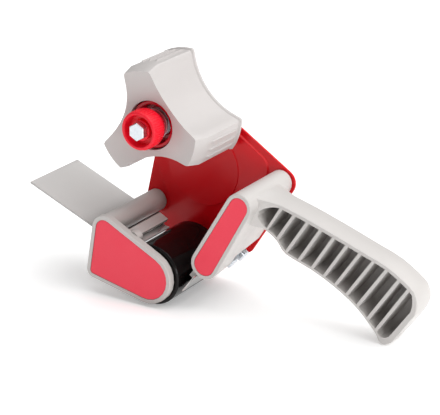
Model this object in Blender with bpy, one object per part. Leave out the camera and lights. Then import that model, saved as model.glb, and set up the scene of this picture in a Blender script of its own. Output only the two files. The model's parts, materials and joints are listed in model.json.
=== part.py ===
"""Hand-held packing tape dispenser with a pistol grip, in metres, +Z up.

The drawing origin is the hub axis, at the near end of the hub. X runs towards the
grip, Y runs from the open near side to the steel side frame, Z runs up. The last
step shifts the whole tool so that it stands on Z = 0, centred on X = Y = 0.
"""
import math

import bmesh
import bpy
import numpy as np
from mathutils import Vector

# Clearances and cutters
FIT = 0.0003
OVERRUN = 0.001
TINY_BEVEL = 0.0004

# Steel side frame
HUB_TO_FRAME = 0.0069
SHEET = 0.0015
PANEL_RAISE = 0.0012
PANEL_RISER = 0.0009
DISC_RAISE = 0.0008
DISC_RISER = 0.0006
DISC_CENTRE = (0.00675, -0.0396)
DISC_RADIUS = 0.0257
FRAME_TOP_RADIUS = 0.0100
FRAME_SHOULDER = (-0.0110, -0.0030)
FRAME_SHOULDER_RADIUS = 0.0113
FRAME_CORNER_RADIUS = 0.0040
FRAME_CORNER_SHIFT = (-0.0007, -0.0059)
FRAME_MARGIN = 0.0009
FRAME_AXLE_RADIUS = 0.0170
PANEL_TOP_RADIUS = 0.0065
PANEL_FRONT_CENTRE = (-0.0184, -0.0415)
PANEL_CORNER_RADIUS = 0.0097
PANEL_REAR_CENTRE = (0.0435, -0.0338)
PANEL_AXLE_RADIUS = 0.0120

# Tape hub
HUB_LENGTH = 0.0491
HUB_RADIUS = 0.0377
HUB_LOBE_HALF = 0.0105
HUB_DIP_RADIUS = 0.0188
HUB_NEAR_RADIUS = 0.0351
HUB_NEAR_LOBE_HALF = 0.0099
HUB_NEAR_DIP_RADIUS = 0.0192
HUB_LEAD_IN = 0.0091
HUB_LOBES = 3
HUB_LOBE_ANGLE = math.radians(101.3)
HUB_CORNER = 0.0010
HUB_RIDGE_HEIGHT = 0.0009
HUB_RIDGE_WIDTH = 0.0016
HUB_RIDGE_SPACING = 0.0052
HUB_RIDGE_FROM = 0.0150
HUB_RIDGE_RUN_OUT = 0.0015
HUB_LIP_LENGTH = 0.0016
HUB_WALL = 0.0024
HUB_CORE_RADIUS = 0.0105
HUB_RIB = 0.0018
HUB_RECESS_RADIUS = 0.0156
HUB_RECESS_RIM_Y = 0.0050
HUB_RECESS_FLOOR_Y = 0.0170
HUB_POCKET_FROM = 0.0196
BUSH_WALL = 0.0016
BUSH_LENGTH = 0.0090

# Spindle and tape brake
SPINDLE_RADIUS = 0.0060
SPINDLE_BORE_RADIUS = 0.0034
SPINDLE_NEAR_Y = 0.0135
SPINDLE_FLANGE_RADIUS = 0.0095
SPINDLE_FLANGE = 0.0015
SPINDLE_NECK_RADIUS = 0.0050
SPINDLE_SHOULDER_RADIUS = 0.0068
SPINDLE_HEAD_RADIUS = 0.0082
SPINDLE_HEAD = 0.0014
CUP_WALL = 0.0024
CUP_FLOOR = 0.0015
CUP_RIM_Y = 0.0072
BRAKE_WIRE_RADIUS = 0.0006
BRAKE_COIL_RADIUS = 0.0090
BRAKE_CURLS = 2.5
WASHER_RADIUS = 0.0100
WASHER_THICKNESS = 0.0010
KNOB_RADIUS = 0.0125
KNOB_NEAR_Y = -0.0090
KNOB_BACK_Y = 0.0025
KNOB_CHAMFER = 0.0007
KNOB_TEETH = 48
KNOB_TOOTH_DEPTH = 0.0005
KNOB_COLLAR_RADIUS = 0.0088
KNOB_COLLAR_Y = 0.0076
KNOB_RECESS_RADIUS = 0.0100
KNOB_RECESS_FLOOR_Y = -0.0035
KNOB_BOSS_RADIUS = 0.0066
KNOB_BOSS_Y = -0.0067
BOLT_RADIUS = 0.0030
BOLT_ACROSS_FLATS = 0.0100
BOLT_HEAD = 0.0040
BOLT_CHAMFER = 0.0004
BOLT_TIP_Y = 0.0450

# Roller under the hub
ROLLER_CENTRE = (0.0045, -0.0940)
ROLLER_RADIUS = 0.0197
ROLLER_NEAR_Y = -0.0034
ROLLER_LENGTH = 0.0494
ROLLER_WALL = 0.0034
ROLLER_CHAMFER = 0.0008
ROLLER_CORE_WALL = 0.0020
ROLLER_WEB_SET_BACK = 0.0045
ROLLER_HUB_RADIUS = 0.0085
AXLE_RADIUS = 0.0040
AXLE_THREAD_RADIUS = 0.0030
AXLE_THREAD_OUT = 0.0058
SPACER_RADIUS = 0.0070
NUT_ACROSS_FLATS = 0.0100
NUT_HEIGHT = 0.0045
NUT_WASHER_RADIUS = 0.0062
NUT_WASHER_THICKNESS = 0.0010

# Front housing with its near side plate
FRONT_TUBE_CENTRE = (-0.0294, -0.0690)
FRONT_TUBE_RADIUS = 0.0073
NEAR_PLATE_Y = -0.0090
NEAR_PLATE = 0.0050
NEAR_PLATE_TOP = (-0.0266, -0.0686)
NEAR_PLATE_TOP_RADIUS = 0.0091
NEAR_PLATE_ROLLER_RADIUS = 0.0173
NEAR_PLATE_TOE = (-0.0354, -0.0974)
NEAR_PLATE_TOE_RADIUS = 0.0052
LABEL_RIM = 0.0027
LABEL_THICKNESS = 0.0006
LABEL_SUNK = 0.0003
TUBE_WALL = 0.0022
POST_RADIUS = 0.0031
POST_HOLE_RADIUS = 0.0018
POST_HOLE_DEPTH = 0.0140

# Guide bar, return stop and its pin
PIN_CENTRE = (-0.0126, -0.0745)
PIN_RADIUS = 0.0010
BAR_LEFT_TOP = (-0.0130, -0.0680)
BAR_WIDTH = 0.0068
BAR_THICKNESS = 0.0022
BAR_SLOPE = math.radians(-28.1)
BAR_END_Y = 0.0340
BAR_LUG = 0.0030
BAR_LUG_RADIUS = 0.0026
BOSS_CENTRE = (-0.0083, -0.0718)
BOSS_RADIUS = 0.0045
BOSS_PIN_RADIUS = 0.0030
BOSS_FACE_Y = 0.0005
STOP_KNUCKLE_RADIUS = 0.0021
STOP_KNUCKLE_LENGTH = 0.0137
STOP_TIP_RADIUS = 0.0006
STOP_ROOT_RADIUS = 0.0009
STOP_TIP_ANGLE = math.radians(115.4)
STOP_LEDGE_SHARE = 0.39
STOP_WIRE_RADIUS = 0.00025
STOP_COIL_RADIUS = 0.0019
STOP_CURLS = 4
STOP_PITCH = 0.00112
STOP_LEG_SLOPE = math.radians(-14.4)
STOP_LEG = 0.0050
STOP_LEG_RUN = 0.0122
STOP_LEG_TIP_SHARE = 0.95
STOP_BAR_LEG = 0.0030
BAR_LUG_ROOT_SHARE = 0.33

# Wiper in front of the roller
WIPER_THICKNESS = 0.0013
WIPER_LENGTH = 0.0626
WIPER_SLOPE = math.radians(156.8)
WIPER_NEAR_Y = 0.0009
WIPER_WIDTH = 0.0516
WIPER_CRADLE_FROM = math.radians(165.0)
WIPER_CRADLE_TO = math.radians(300.0)

# Handle moulding: hollow cheek, blade seat and grip
CHEEK_TOP = (0.0636, -0.0403)
CHEEK_TOP_RADIUS = 0.0087
CHEEK_TOP_DRAFT = 0.0008
CHEEK_FOOT_DRAFT = 0.0028
CHEEK_FAR_SHIFT = (-0.0009, 0.0003)
CHEEK_FOOT = (0.0395, -0.0821)
CHEEK_FOOT_RADIUS = 0.0096
CHEEK_NEAR_Y = 0.0020
CHEEK_WALL = 0.0024
CHEEK_RIM = 0.0024
LOWER_POST_SHARE = 0.25
NOTCH_MARGIN = 0.0008
NOTCH_RISE = 0.0065
NOTCH_WALL = 0.0022
SEAT_THICKNESS = 0.0035
SEAT_RISE = 0.0050
SEAT_REACH = 0.0150
GRIP_REACH = 0.1132
GRIP_DROP = 0.0734
GRIP_DEPTH = 0.0260
GRIP_NEAR_ROUND = 0.0015
GRIP_BACK_ROUND = 0.0105
GRIP_WALL = 0.0023
GRIP_BACK_WALL = 0.0040
GRIP_FLARE = 0.0080
GRIP_END_DEPTH = 0.0205
GRIP_RIBS = 11
GRIP_RIB = 0.0020
GRIP_RIB_PITCH = 0.0094
GRIP_STEPS = 3
BACK_ROUND_SHARE = 0.9
BACK_ROUND_STEPS = 5
NEAR_ROUND_STEPS = 2

# Upper and lower edge of the grip seen from the side, station by station from the
# cheek to the free end: shares of GRIP_REACH (x) and GRIP_DROP (z) from the cheek top
GRIP_EDGE_SHARES = (
    ((0.021, 0.079), (-0.014, -0.166)),
    ((0.127, 0.041), (0.062, -0.210)),
    ((0.200, 0.014), (0.098, -0.234)),
    ((0.283, -0.022), (0.163, -0.304)),
    ((0.364, -0.061), (0.219, -0.404)),
    ((0.518, -0.143), (0.374, -0.492)),
    ((0.675, -0.232), (0.514, -0.597)),
    ((0.830, -0.323), (0.646, -0.734)),
    ((0.955, -0.450), (0.756, -0.910)),
    ((0.985, -0.510), (0.776, -0.968)),
    ((0.999, -0.585), (0.808, -1.000)),
    ((0.990, -0.668), (0.853, -0.969)),
)
GRIP_FIRST_RIB_STATION = 2
GRIP_LAST_RIB_STATION = 8
GRIP_CLOSING_STATION = 9
GRIP_ROOT_BAY_SHARE = 0.72
GRIP_ROOT_TURN = math.radians(15.0)
GRIP_END_BAY_SHARE = 0.62
GRIP_END_TURN = math.radians(70.0)
GRIP_END_PINCH_SHARE = 0.32
GRIP_ROUND_BAY_STEPS = 6
GRIP_BAY_STEPS = 2
STATION_SAMPLES = 200
STATION_NUDGE_SHARE = 0.05

# Cutting blade
BLADE_THICKNESS = 0.0008
BLADE_TO_FRAME = 0.0040
BLADE_WIDTH = 0.0530
BLADE_HEIGHT = 0.0160
BLADE_TANG_RISE = 0.0040
BLADE_ANGLE = math.radians(232.2)
BLADE_TOOTH_PITCH = 0.0016
BLADE_TOOTH_DEPTH = 0.0012
BLADE_WAVE_DEPTH = 0.0012
BLADE_WAVE_PITCH = 0.0130
BLADE_SCREW_DROP = 0.0022
BLADE_SCREW_INSET = 0.0105
BLADE_SCREW_SPACING = 0.0135
BLADE_SCREW_RADIUS = 0.0014
BLADE_SCREW_HEAD_RADIUS = 0.0042
BLADE_SCREW_HEAD = 0.0074
BLADE_SCREW_CHAMFER = 0.0008
BLADE_SCREW_TEETH = 14
BLADE_SCREW_TOOTH_DEPTH = 0.0006
BLADE_SCREW_BITE = 0.0026

# Screws through the side frame
FRAME_SCREW_RADIUS = 0.0015
FRAME_SCREW_HEAD_RADIUS = 0.0036
FRAME_SCREW_HEAD = 0.0021
FRAME_SCREW_GRIP = 0.0110

# Facets of round forms
ROUND_STEPS = 40
MEDIUM_ROUND_STEPS = 28
SMALL_ROUND_STEPS = 20
HULL_STEPS = 10
KNURL_STEPS_PER_TOOTH = 2
COIL_POINTS = 10

# Colours (sRGB), roughness and metallic value of each material
MATERIALS = {
    "painted_red_steel": ((0.61, 0.06, 0.09), 0.18, 0.0),
    "light_grey_plastic": ((0.85, 0.83, 0.81), 0.45, 0.0),
    "grey_wiper_plastic": ((0.75, 0.74, 0.73), 0.40, 0.0),
    "red_inset": ((0.91, 0.26, 0.33), 0.50, 0.0),
    "bright_red_plastic": ((0.97, 0.19, 0.25), 0.35, 0.0),
    "dark_red_plastic": ((0.65, 0.00, 0.12), 0.35, 0.0),
    "black_rubber": ((0.02, 0.02, 0.02), 0.20, 0.0),
    "black_plastic": ((0.05, 0.05, 0.05), 0.45, 0.0),
    "zinc_steel": ((0.80, 0.82, 0.84), 0.25, 1.0),
    "blade_steel": ((0.72, 0.72, 0.72), 0.15, 1.0),
    "bronze_bush": ((0.62, 0.48, 0.28), 0.35, 1.0),
}

# Places that follow from the sizes above
FRAME_INNER_Y = HUB_LENGTH + HUB_TO_FRAME
FRAME_OUTER_Y = FRAME_INNER_Y + SHEET
PANEL_INNER_Y = FRAME_INNER_Y - PANEL_RAISE
PANEL_OUTER_Y = FRAME_OUTER_Y - PANEL_RAISE
ROLLER_FAR_Y = ROLLER_NEAR_Y + ROLLER_LENGTH
NEAR_PLATE_INNER_Y = NEAR_PLATE_Y + NEAR_PLATE
TUBE_END_Y = FRAME_INNER_Y - FIT
CUP_BACK_Y = HUB_RECESS_FLOOR_Y - FIT
CUP_FLOOR_Y = CUP_BACK_Y - CUP_FLOOR
WASHER_NEAR_Y = KNOB_COLLAR_Y + FIT
WASHER_FAR_Y = WASHER_NEAR_Y + WASHER_THICKNESS
BLADE_DIRECTION = (math.cos(BLADE_ANGLE), math.sin(BLADE_ANGLE))
BLADE_FACE_NORMAL = (-BLADE_DIRECTION[1], BLADE_DIRECTION[0])
BLADE_TOP = CHEEK_FOOT_RADIUS + FIT
BLADE_FAR_Y = FRAME_INNER_Y - BLADE_TO_FRAME
BLADE_NEAR_Y = BLADE_FAR_Y - BLADE_WIDTH
BLADE_SCREW_FAR_Y = BLADE_FAR_Y - BLADE_SCREW_INSET
BLADE_SCREW_NEAR_Y = BLADE_SCREW_FAR_Y - BLADE_SCREW_SPACING
NOTCH_NEAR_Y = BLADE_SCREW_NEAR_Y - BLADE_SCREW_HEAD_RADIUS - NOTCH_MARGIN
BLADE_OUTER_FACE = FIT + BLADE_THICKNESS
LOWER_POST = (CHEEK_FOOT[0] + (CHEEK_TOP[0] - CHEEK_FOOT[0]) * LOWER_POST_SHARE,
              CHEEK_FOOT[1] + (CHEEK_TOP[1] - CHEEK_FOOT[1]) * LOWER_POST_SHARE)
BAR_ACROSS = (math.cos(BAR_SLOPE), math.sin(BAR_SLOPE))
BAR_DOWN = (math.sin(BAR_SLOPE), -math.cos(BAR_SLOPE))
LUG_NEAR_Y = BAR_END_Y - BAR_LUG
LABEL_POCKET = LABEL_SUNK + LABEL_THICKNESS + FIT
CHEEK_HOLLOW_Y = CHEEK_NEAR_Y + CHEEK_WALL + LABEL_POCKET
GRIP_NEAR_Y = (CHEEK_NEAR_Y + TUBE_END_Y - GRIP_DEPTH) / 2
BLADE_TANG_NEAR_Y = CHEEK_HOLLOW_Y + TINY_BEVEL


def clear_scene():
    """Remove every object that the file starts with."""
    for item in list(bpy.data.objects):
        bpy.data.objects.remove(item, do_unlink=True)


def make_materials():
    """Make one Principled material for each entry of MATERIALS."""
    made = {}
    for name, (colour, roughness, metallic) in MATERIALS.items():
        material = bpy.data.materials.new(name)
        material.use_nodes = True
        shader = material.node_tree.nodes["Principled BSDF"]
        linear = [channel ** 2.2 for channel in colour]
        shader.inputs["Base Color"].default_value = (*linear, 1.0)
        shader.inputs["Roughness"].default_value = roughness
        shader.inputs["Metallic"].default_value = metallic
        material.diffuse_color = (*linear, 1.0)
        made[name] = material
    return made


def make_pivot(name, parent, x, z):
    """Make an empty whose Y axis is the turning axis at (x, z)."""
    pivot = bpy.data.objects.new(name, None)
    bpy.context.scene.collection.objects.link(pivot)
    pivot.parent = parent
    pivot.location = (x, 0.0, z)
    return pivot


def place(name, data, parent, material, x=0.0, z=0.0):
    """Link an object that carries mesh or curve data under its parent."""
    item = bpy.data.objects.new(name, data)
    bpy.context.scene.collection.objects.link(item)
    item.parent = parent
    item.location = (x, 0.0, z)
    if material is not None:
        data.materials.append(material)
    return item


def mesh_from_rings(name, rings, closed=False):
    """Skin rings of equally many points; a ring of one point is a pole.

    An open stack gets its end rings filled; a closed one joins last to first.
    """
    form = bmesh.new()
    loops = [[form.verts.new(point) for point in ring] for ring in rings]
    pairs = list(zip(loops, loops[1:]))
    if closed:
        pairs.append((loops[-1], loops[0]))
    for low, high in pairs:
        count = max(len(low), len(high))
        for index in range(count):
            following = (index + 1) % count
            corners = [low[index % len(low)], low[following % len(low)],
                       high[following % len(high)], high[index % len(high)]]
            distinct = list(dict.fromkeys(corners))
            form.faces.new(distinct)
    if not closed:
        for loop in (loops[0], loops[-1]):
            if len(loop) > 1:
                form.faces.new(loop)
    bmesh.ops.recalc_face_normals(form, faces=form.faces)
    mesh = bpy.data.meshes.new(name)
    form.to_mesh(mesh)
    form.free()
    return mesh


def shade(item, angle_share=0.17):
    """Shade smooth, keeping edges sharper than a share of half a turn."""
    item.data.shade_smooth()
    item.data.set_sharp_from_angle(angle=math.pi * angle_share)
    return item


def section(outline, y):
    """Lift a side outline of (x, z) points to the plane at y."""
    return [Vector((x, y, z)) for x, z in outline]


def slab(name, outline, near_y, far_y, parent, material=None, x=0.0, z=0.0):
    """Extrude a side outline from near_y to far_y."""
    rings = [section(outline, near_y), section(outline, far_y)]
    return shade(place(name, mesh_from_rings(name, rings), parent, material, x, z))


def turned_mesh(name, profile, steps, tooth_depth=0.0, knurled=()):
    """Turn a profile of (radius, y) points about the Y axis.

    A profile that starts and ends on the axis is a solid, any other one a ring.
    The profile points whose index is in knurled carry teeth of tooth_depth.
    """
    rings = []
    for number, (radius, y) in enumerate(profile):
        if radius == 0.0:
            rings.append([Vector((0.0, y, 0.0))])
            continue
        ring = []
        for index in range(steps):
            angle = math.tau * index / steps
            inset = tooth_depth * (index % 2) if number in knurled else 0.0
            reach = radius - inset
            ring.append(Vector((reach * math.cos(angle), y, reach * math.sin(angle))))
        rings.append(ring)
    return mesh_from_rings(name, rings, closed=profile[0][0] > 0.0)


def turned(name, profile, parent, material=None, x=0.0, z=0.0, steps=ROUND_STEPS):
    """Place a turned piece with its axis at (x, z)."""
    return shade(place(name, turned_mesh(name, profile, steps), parent, material, x, z))


def apply_boolean(target, tool, operation):
    """Add a Boolean to target and keep its tool out of the model."""
    modifier = target.modifiers.new(tool.name, "BOOLEAN")
    modifier.operation = operation
    modifier.solver = "EXACT"
    modifier.object = tool
    tool.hide_render = True
    tool.display_type = "WIRE"
    return target


def cut(target, tool):
    """Cut a tool's form out of the target."""
    return apply_boolean(target, tool, "DIFFERENCE")


def fuse(target, tool):
    """Join a tool's form to the target."""
    return apply_boolean(target, tool, "UNION")


def hull_of_discs(discs, steps=HULL_STEPS):
    """Outline of the convex hull of discs (x, z, radius), given anticlockwise."""
    normals = []
    for (x0, z0, r0), (x1, z1, r1) in zip(discs, discs[1:] + discs[:1]):
        heading = math.atan2(z1 - z0, x1 - x0)
        normals.append(heading - math.acos((r0 - r1) / math.hypot(x1 - x0, z1 - z0)))
    outline = []
    for index, (x, z, radius) in enumerate(discs):
        start = normals[index - 1]
        sweep = (normals[index] - start) % math.tau
        for step in range(steps + 1):
            angle = start + sweep * step / steps
            outline.append((x + radius * math.cos(angle), z + radius * math.sin(angle)))
    return outline


def grow(discs, amount):
    """Discs whose hull lies amount outside the hull of the given discs."""
    return [(x, z, radius + amount) for x, z, radius in discs]


def arc(centre, radius, start, end, steps):
    """Points of an arc about centre from the start to the end angle."""
    x, z = centre
    angles = [start + (end - start) * step / steps for step in range(steps + 1)]
    return [(x + radius * math.cos(a), z + radius * math.sin(a)) for a in angles]


def hexagon(across_flats, y, inset=0.0):
    """A hexagon about the Y axis, its corners drawn in by inset."""
    reach = across_flats / math.sqrt(3) - inset
    corners = [math.tau * (corner + 0.5) / 6 for corner in range(6)]
    return [Vector((reach * math.cos(a), y, reach * math.sin(a))) for a in corners]


def along_blade(distance, offset=0.0):
    """Point at a distance down the blade from the cheek's foot centre."""
    x = CHEEK_FOOT[0] + BLADE_DIRECTION[0] * distance + BLADE_FACE_NORMAL[0] * offset
    z = CHEEK_FOOT[1] + BLADE_DIRECTION[1] * distance + BLADE_FACE_NORMAL[1] * offset
    return x, z


def smooth_point(points, position):
    """Catmull-Rom point at a fractional index of a list of points."""
    last = len(points) - 1
    index = min(int(position), last - 1)
    share = position - index
    before = points[max(index - 1, 0)]
    start = points[index]
    end = points[index + 1]
    after = points[min(index + 2, last)]
    result = []
    for a, b, c, d in zip(before, start, end, after):
        slope = (c - a) / 2
        next_slope = (d - b) / 2
        result.append((2 * share ** 3 - 3 * share ** 2 + 1) * b
                      + (share ** 3 - 2 * share ** 2 + share) * slope
                      + (3 * share ** 2 - 2 * share ** 3) * c
                      + (share ** 3 - share ** 2) * next_slope)
    return tuple(result)


def wire(name, points, radius, parent, material, x=0.0, z=0.0):
    """Run a round wire through points as one unbroken tube with filled ends."""
    curve = bpy.data.curves.new(name, "CURVE")
    curve.dimensions = "3D"
    curve.bevel_depth = radius
    curve.bevel_resolution = 1
    curve.use_fill_caps = True
    spline = curve.splines.new("POLY")
    spline.points.add(len(points) - 1)
    for target, point in zip(spline.points, points):
        target.co = (*point, 1.0)
    return place(name, curve, parent, material, x, z)


def print_self_gap(name, points, radius, curl_points):
    """Print the least gap between neighbouring curls of a wound wire."""
    places = np.array(points)
    gaps = []
    for index in range(len(places) - curl_points // 2):
        others = places[index + curl_points // 2:]
        gaps.append(np.linalg.norm(others - places[index], axis=1).min())
    print(f"{name}: least gap between curls {1000 * (min(gaps) - 2 * radius):.2f} mm")


def build_side_frame(parent, materials):
    """Pressed steel side frame: flat border, raised panel and a round pad on it."""
    corner = (CHEEK_FOOT[0] + FRAME_CORNER_SHIFT[0],
              CHEEK_FOOT[1] + FRAME_CORNER_SHIFT[1])
    border = [
        (0.0, 0.0, FRAME_TOP_RADIUS),
        (*FRAME_SHOULDER, FRAME_SHOULDER_RADIUS),
        (*FRONT_TUBE_CENTRE, FRONT_TUBE_RADIUS + FRAME_MARGIN),
        (*ROLLER_CENTRE, FRAME_AXLE_RADIUS),
        (*corner, FRAME_CORNER_RADIUS),
        (*CHEEK_TOP, CHEEK_TOP_RADIUS - CHEEK_TOP_DRAFT + FRAME_MARGIN),
    ]
    panel = [
        (0.0, 0.0, PANEL_TOP_RADIUS),
        (*PANEL_FRONT_CENTRE, PANEL_CORNER_RADIUS),
        (*ROLLER_CENTRE, PANEL_AXLE_RADIUS),
        (*PANEL_REAR_CENTRE, PANEL_CORNER_RADIUS),
    ]
    frame = slab("side_frame", hull_of_discs(border), FRAME_INNER_Y, FRAME_OUTER_Y,
                 parent, materials["painted_red_steel"])

    def step(name, discs, near_y, far_y, riser):
        rings = [section(hull_of_discs(discs), near_y),
                 section(hull_of_discs(grow(discs, riser)), far_y)]
        return place(name, mesh_from_rings(name, rings), parent, None)

    def pad(name, near_y, far_y, riser):
        profile = [(0.0, near_y), (DISC_RADIUS, near_y), (DISC_RADIUS + riser, far_y),
                   (0.0, far_y)]
        return turned(name, profile, parent, None, *DISC_CENTRE)

    pad_inner_y = PANEL_INNER_Y - DISC_RAISE
    pad_outer_y = PANEL_OUTER_Y - DISC_RAISE
    fuse(frame, step("panel_raised", panel, PANEL_INNER_Y, FRAME_INNER_Y + SHEET / 2,
                     PANEL_RISER))
    fuse(frame, pad("pad_raised", pad_inner_y, PANEL_INNER_Y + SHEET / 2, DISC_RISER))
    cut(frame, step("panel_hollow", grow(panel, -SHEET / 2), PANEL_OUTER_Y,
                    FRAME_OUTER_Y + OVERRUN, PANEL_RISER))
    cut(frame, pad("pad_hollow", pad_outer_y, PANEL_OUTER_Y + OVERRUN, 0.0))

    holes = {
        "spindle_hole": ((0.0, 0.0), SPINDLE_NECK_RADIUS),
        "axle_hole": (ROLLER_CENTRE, AXLE_THREAD_RADIUS),
        "upper_screw_hole": (CHEEK_TOP, FRAME_SCREW_RADIUS),
        "lower_screw_hole": (LOWER_POST, FRAME_SCREW_RADIUS),
        "front_screw_hole": (FRONT_TUBE_CENTRE, FRAME_SCREW_RADIUS),
    }
    for name, (centre, radius) in holes.items():
        hole = arc((0.0, 0.0), radius + FIT, 0.0, math.tau, SMALL_ROUND_STEPS)[:-1]
        cut(frame, slab(name, hole, pad_inner_y - OVERRUN, FRAME_OUTER_Y + OVERRUN,
                        parent, None, *centre))
    return frame


def lobe_outline(tip_radius, half_width, dip_radius, ridge=0.0, steps=12):
    """Side outline of the hub: flat-tipped lobes joined by hollow flanks.

    Each tip is an arc about the hub axis with slightly broken corners and three
    ridges of the given height; each flank is an arc that dips to dip_radius.
    """
    spread = math.asin(half_width / tip_radius)
    pitch = math.tau / HUB_LOBES
    half_chord = tip_radius * math.sin(pitch / 2 - spread)
    chord_distance = tip_radius * math.cos(pitch / 2 - spread)
    dip = chord_distance - dip_radius
    flank_radius = (half_chord ** 2 + dip ** 2) / (2 * dip)
    flank_centre = dip_radius + flank_radius
    flank_sweep = math.asin(half_chord / flank_radius)
    corner_turn = HUB_CORNER / tip_radius
    outline = []
    for lobe in range(HUB_LOBES):
        middle = HUB_LOBE_ANGLE + lobe * pitch
        outline.append(polar(tip_radius - HUB_CORNER, middle - spread))
        outline.append(polar(tip_radius, middle - spread + corner_turn))
        for ridge_number in (-1, 0, 1):
            offset = ridge_number * HUB_RIDGE_SPACING / HUB_RADIUS
            half = HUB_RIDGE_WIDTH / 2 / HUB_RADIUS
            outline.append(polar(tip_radius, middle + offset - half))
            outline.append(polar(tip_radius + ridge, middle + offset - half / 2))
            outline.append(polar(tip_radius + ridge, middle + offset + half / 2))
            outline.append(polar(tip_radius, middle + offset + half))
        outline.append(polar(tip_radius, middle + spread - corner_turn))
        outline.append(polar(tip_radius - HUB_CORNER, middle + spread))
        away = middle + pitch / 2
        centre = polar(flank_centre, away)
        flank = arc(centre, flank_radius, away + math.pi + flank_sweep,
                    away + math.pi - flank_sweep, steps)
        outline.extend(flank[1:-1])
    return outline


def polar(radius, angle):
    """Point at a radius and angle from the hub axis."""
    return radius * math.cos(angle), radius * math.sin(angle)


def dished(outline):
    """Near edge of the hub, following a cone from the recess rim to the lobe tips."""
    depth_per_radius = HUB_RECESS_RIM_Y / (HUB_NEAR_RADIUS - HUB_RECESS_RADIUS)
    return [Vector((x, (HUB_NEAR_RADIUS - math.hypot(x, z)) * depth_per_radius, z))
            for x, z in outline]


def circle_like(outline, radius):
    """Circle with one point at the angle of each outline point."""
    return [polar(radius, math.atan2(z, x)) for x, z in outline]


def build_hub(parent, materials):
    """Three-lobed tape hub: dished near face, brake recess, ribbed hollow back."""
    plain = lobe_outline(HUB_RADIUS, HUB_LOBE_HALF, HUB_DIP_RADIUS)
    ridged = lobe_outline(HUB_RADIUS, HUB_LOBE_HALF, HUB_DIP_RADIUS, HUB_RIDGE_HEIGHT)
    lip = lobe_outline(HUB_RADIUS + HUB_RIDGE_HEIGHT, HUB_LOBE_HALF + HUB_RIDGE_HEIGHT,
                       HUB_DIP_RADIUS + HUB_RIDGE_HEIGHT)
    near = lobe_outline(HUB_NEAR_RADIUS, HUB_NEAR_LOBE_HALF, HUB_NEAR_DIP_RADIUS)
    lip_y = HUB_LENGTH - HUB_LIP_LENGTH
    bore = SPINDLE_RADIUS + BUSH_WALL + FIT * 2
    rings = [
        section(lip, HUB_LENGTH),
        section(lip, lip_y),
        section(plain, lip_y - HUB_RIDGE_HEIGHT),
        section(plain, lip_y - HUB_RIDGE_HEIGHT - HUB_RIDGE_RUN_OUT),
        section(ridged, lip_y - HUB_RIDGE_HEIGHT - 2 * HUB_RIDGE_RUN_OUT),
        section(ridged, HUB_RIDGE_FROM + HUB_RIDGE_RUN_OUT),
        section(plain, HUB_RIDGE_FROM),
        section(plain, HUB_LEAD_IN),
        dished(near),
        section(circle_like(near, HUB_RECESS_RADIUS), HUB_RECESS_RIM_Y),
        section(circle_like(near, HUB_RECESS_RADIUS), HUB_RECESS_FLOOR_Y),
        section(circle_like(near, bore), HUB_RECESS_FLOOR_Y),
        section(circle_like(plain, bore), HUB_LENGTH),
    ]
    hub = shade(place("hub", mesh_from_rings("hub", rings, closed=True), parent,
                      materials["light_grey_plastic"]))

    inner = lobe_outline(HUB_RADIUS - HUB_WALL, HUB_LOBE_HALF - HUB_WALL,
                         HUB_DIP_RADIUS - HUB_WALL)
    pitch = math.tau / HUB_LOBES
    for lobe in range(HUB_LOBES):
        start = HUB_LOBE_ANGLE + lobe * pitch
        outer_side = [point for point in inner if between_ribs(point, start, pitch)]
        outer_side.sort(key=lambda point: turn_from(point, start))
        rib_turn = math.asin(HUB_RIB / 2 / HUB_CORE_RADIUS)
        core_side = arc((0.0, 0.0), HUB_CORE_RADIUS, start + pitch - rib_turn,
                        start + rib_turn, HULL_STEPS)
        cut(hub, slab(f"hub_pocket_{lobe}", outer_side + core_side, HUB_POCKET_FROM,
                      HUB_LENGTH + OVERRUN, parent))
    return hub


def turn_from(point, start):
    """Anticlockwise turn from the start angle to a point."""
    return (math.atan2(point[1], point[0]) - start) % math.tau


def between_ribs(point, start, pitch):
    """Whether a point lies between the ribs at start and at start + pitch."""
    turn = turn_from(point, start)
    reach = math.hypot(*point)
    clear = HUB_RIB / 2 < reach * math.sin(min(turn, pitch - turn, math.pi / 2))
    return 0.0 < turn < pitch and clear


def build_hub_bushes(parent, materials):
    """Plain bushes pressed into both ends of the hub's bore."""
    inner = SPINDLE_RADIUS + FIT
    outer = inner + BUSH_WALL
    near_y = HUB_RECESS_FLOOR_Y + FIT
    far_y = HUB_LENGTH - BUSH_LENGTH
    for name, start in (("hub_bush_near", near_y), ("hub_bush_far", far_y)):
        profile = [(inner, start), (outer, start), (outer, start + BUSH_LENGTH),
                   (inner, start + BUSH_LENGTH)]
        turned(name, profile, parent, materials["bronze_bush"], steps=SMALL_ROUND_STEPS)


def build_spindle(parent, materials):
    """Hollow spindle riveted into the side frame, with a flange behind the hub."""
    flange_y = HUB_LENGTH + FIT
    shoulder_y = flange_y + SPINDLE_FLANGE
    rivet_y = FRAME_OUTER_Y + FIT
    profile = [
        (SPINDLE_BORE_RADIUS, SPINDLE_NEAR_Y),
        (SPINDLE_RADIUS, SPINDLE_NEAR_Y),
        (SPINDLE_RADIUS, flange_y),
        (SPINDLE_FLANGE_RADIUS, flange_y),
        (SPINDLE_FLANGE_RADIUS, shoulder_y),
        (SPINDLE_SHOULDER_RADIUS, shoulder_y),
        (SPINDLE_SHOULDER_RADIUS, PANEL_INNER_Y - FIT),
        (SPINDLE_NECK_RADIUS, PANEL_INNER_Y - FIT),
        (SPINDLE_NECK_RADIUS, rivet_y),
        (SPINDLE_HEAD_RADIUS, rivet_y),
        (SPINDLE_HEAD_RADIUS, rivet_y + SPINDLE_HEAD / 2),
        (SPINDLE_NECK_RADIUS, rivet_y + SPINDLE_HEAD),
        (SPINDLE_BORE_RADIUS, rivet_y + SPINDLE_HEAD),
    ]
    turned("hub_spindle", profile, parent, materials["zinc_steel"],
           steps=SMALL_ROUND_STEPS)


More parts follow.
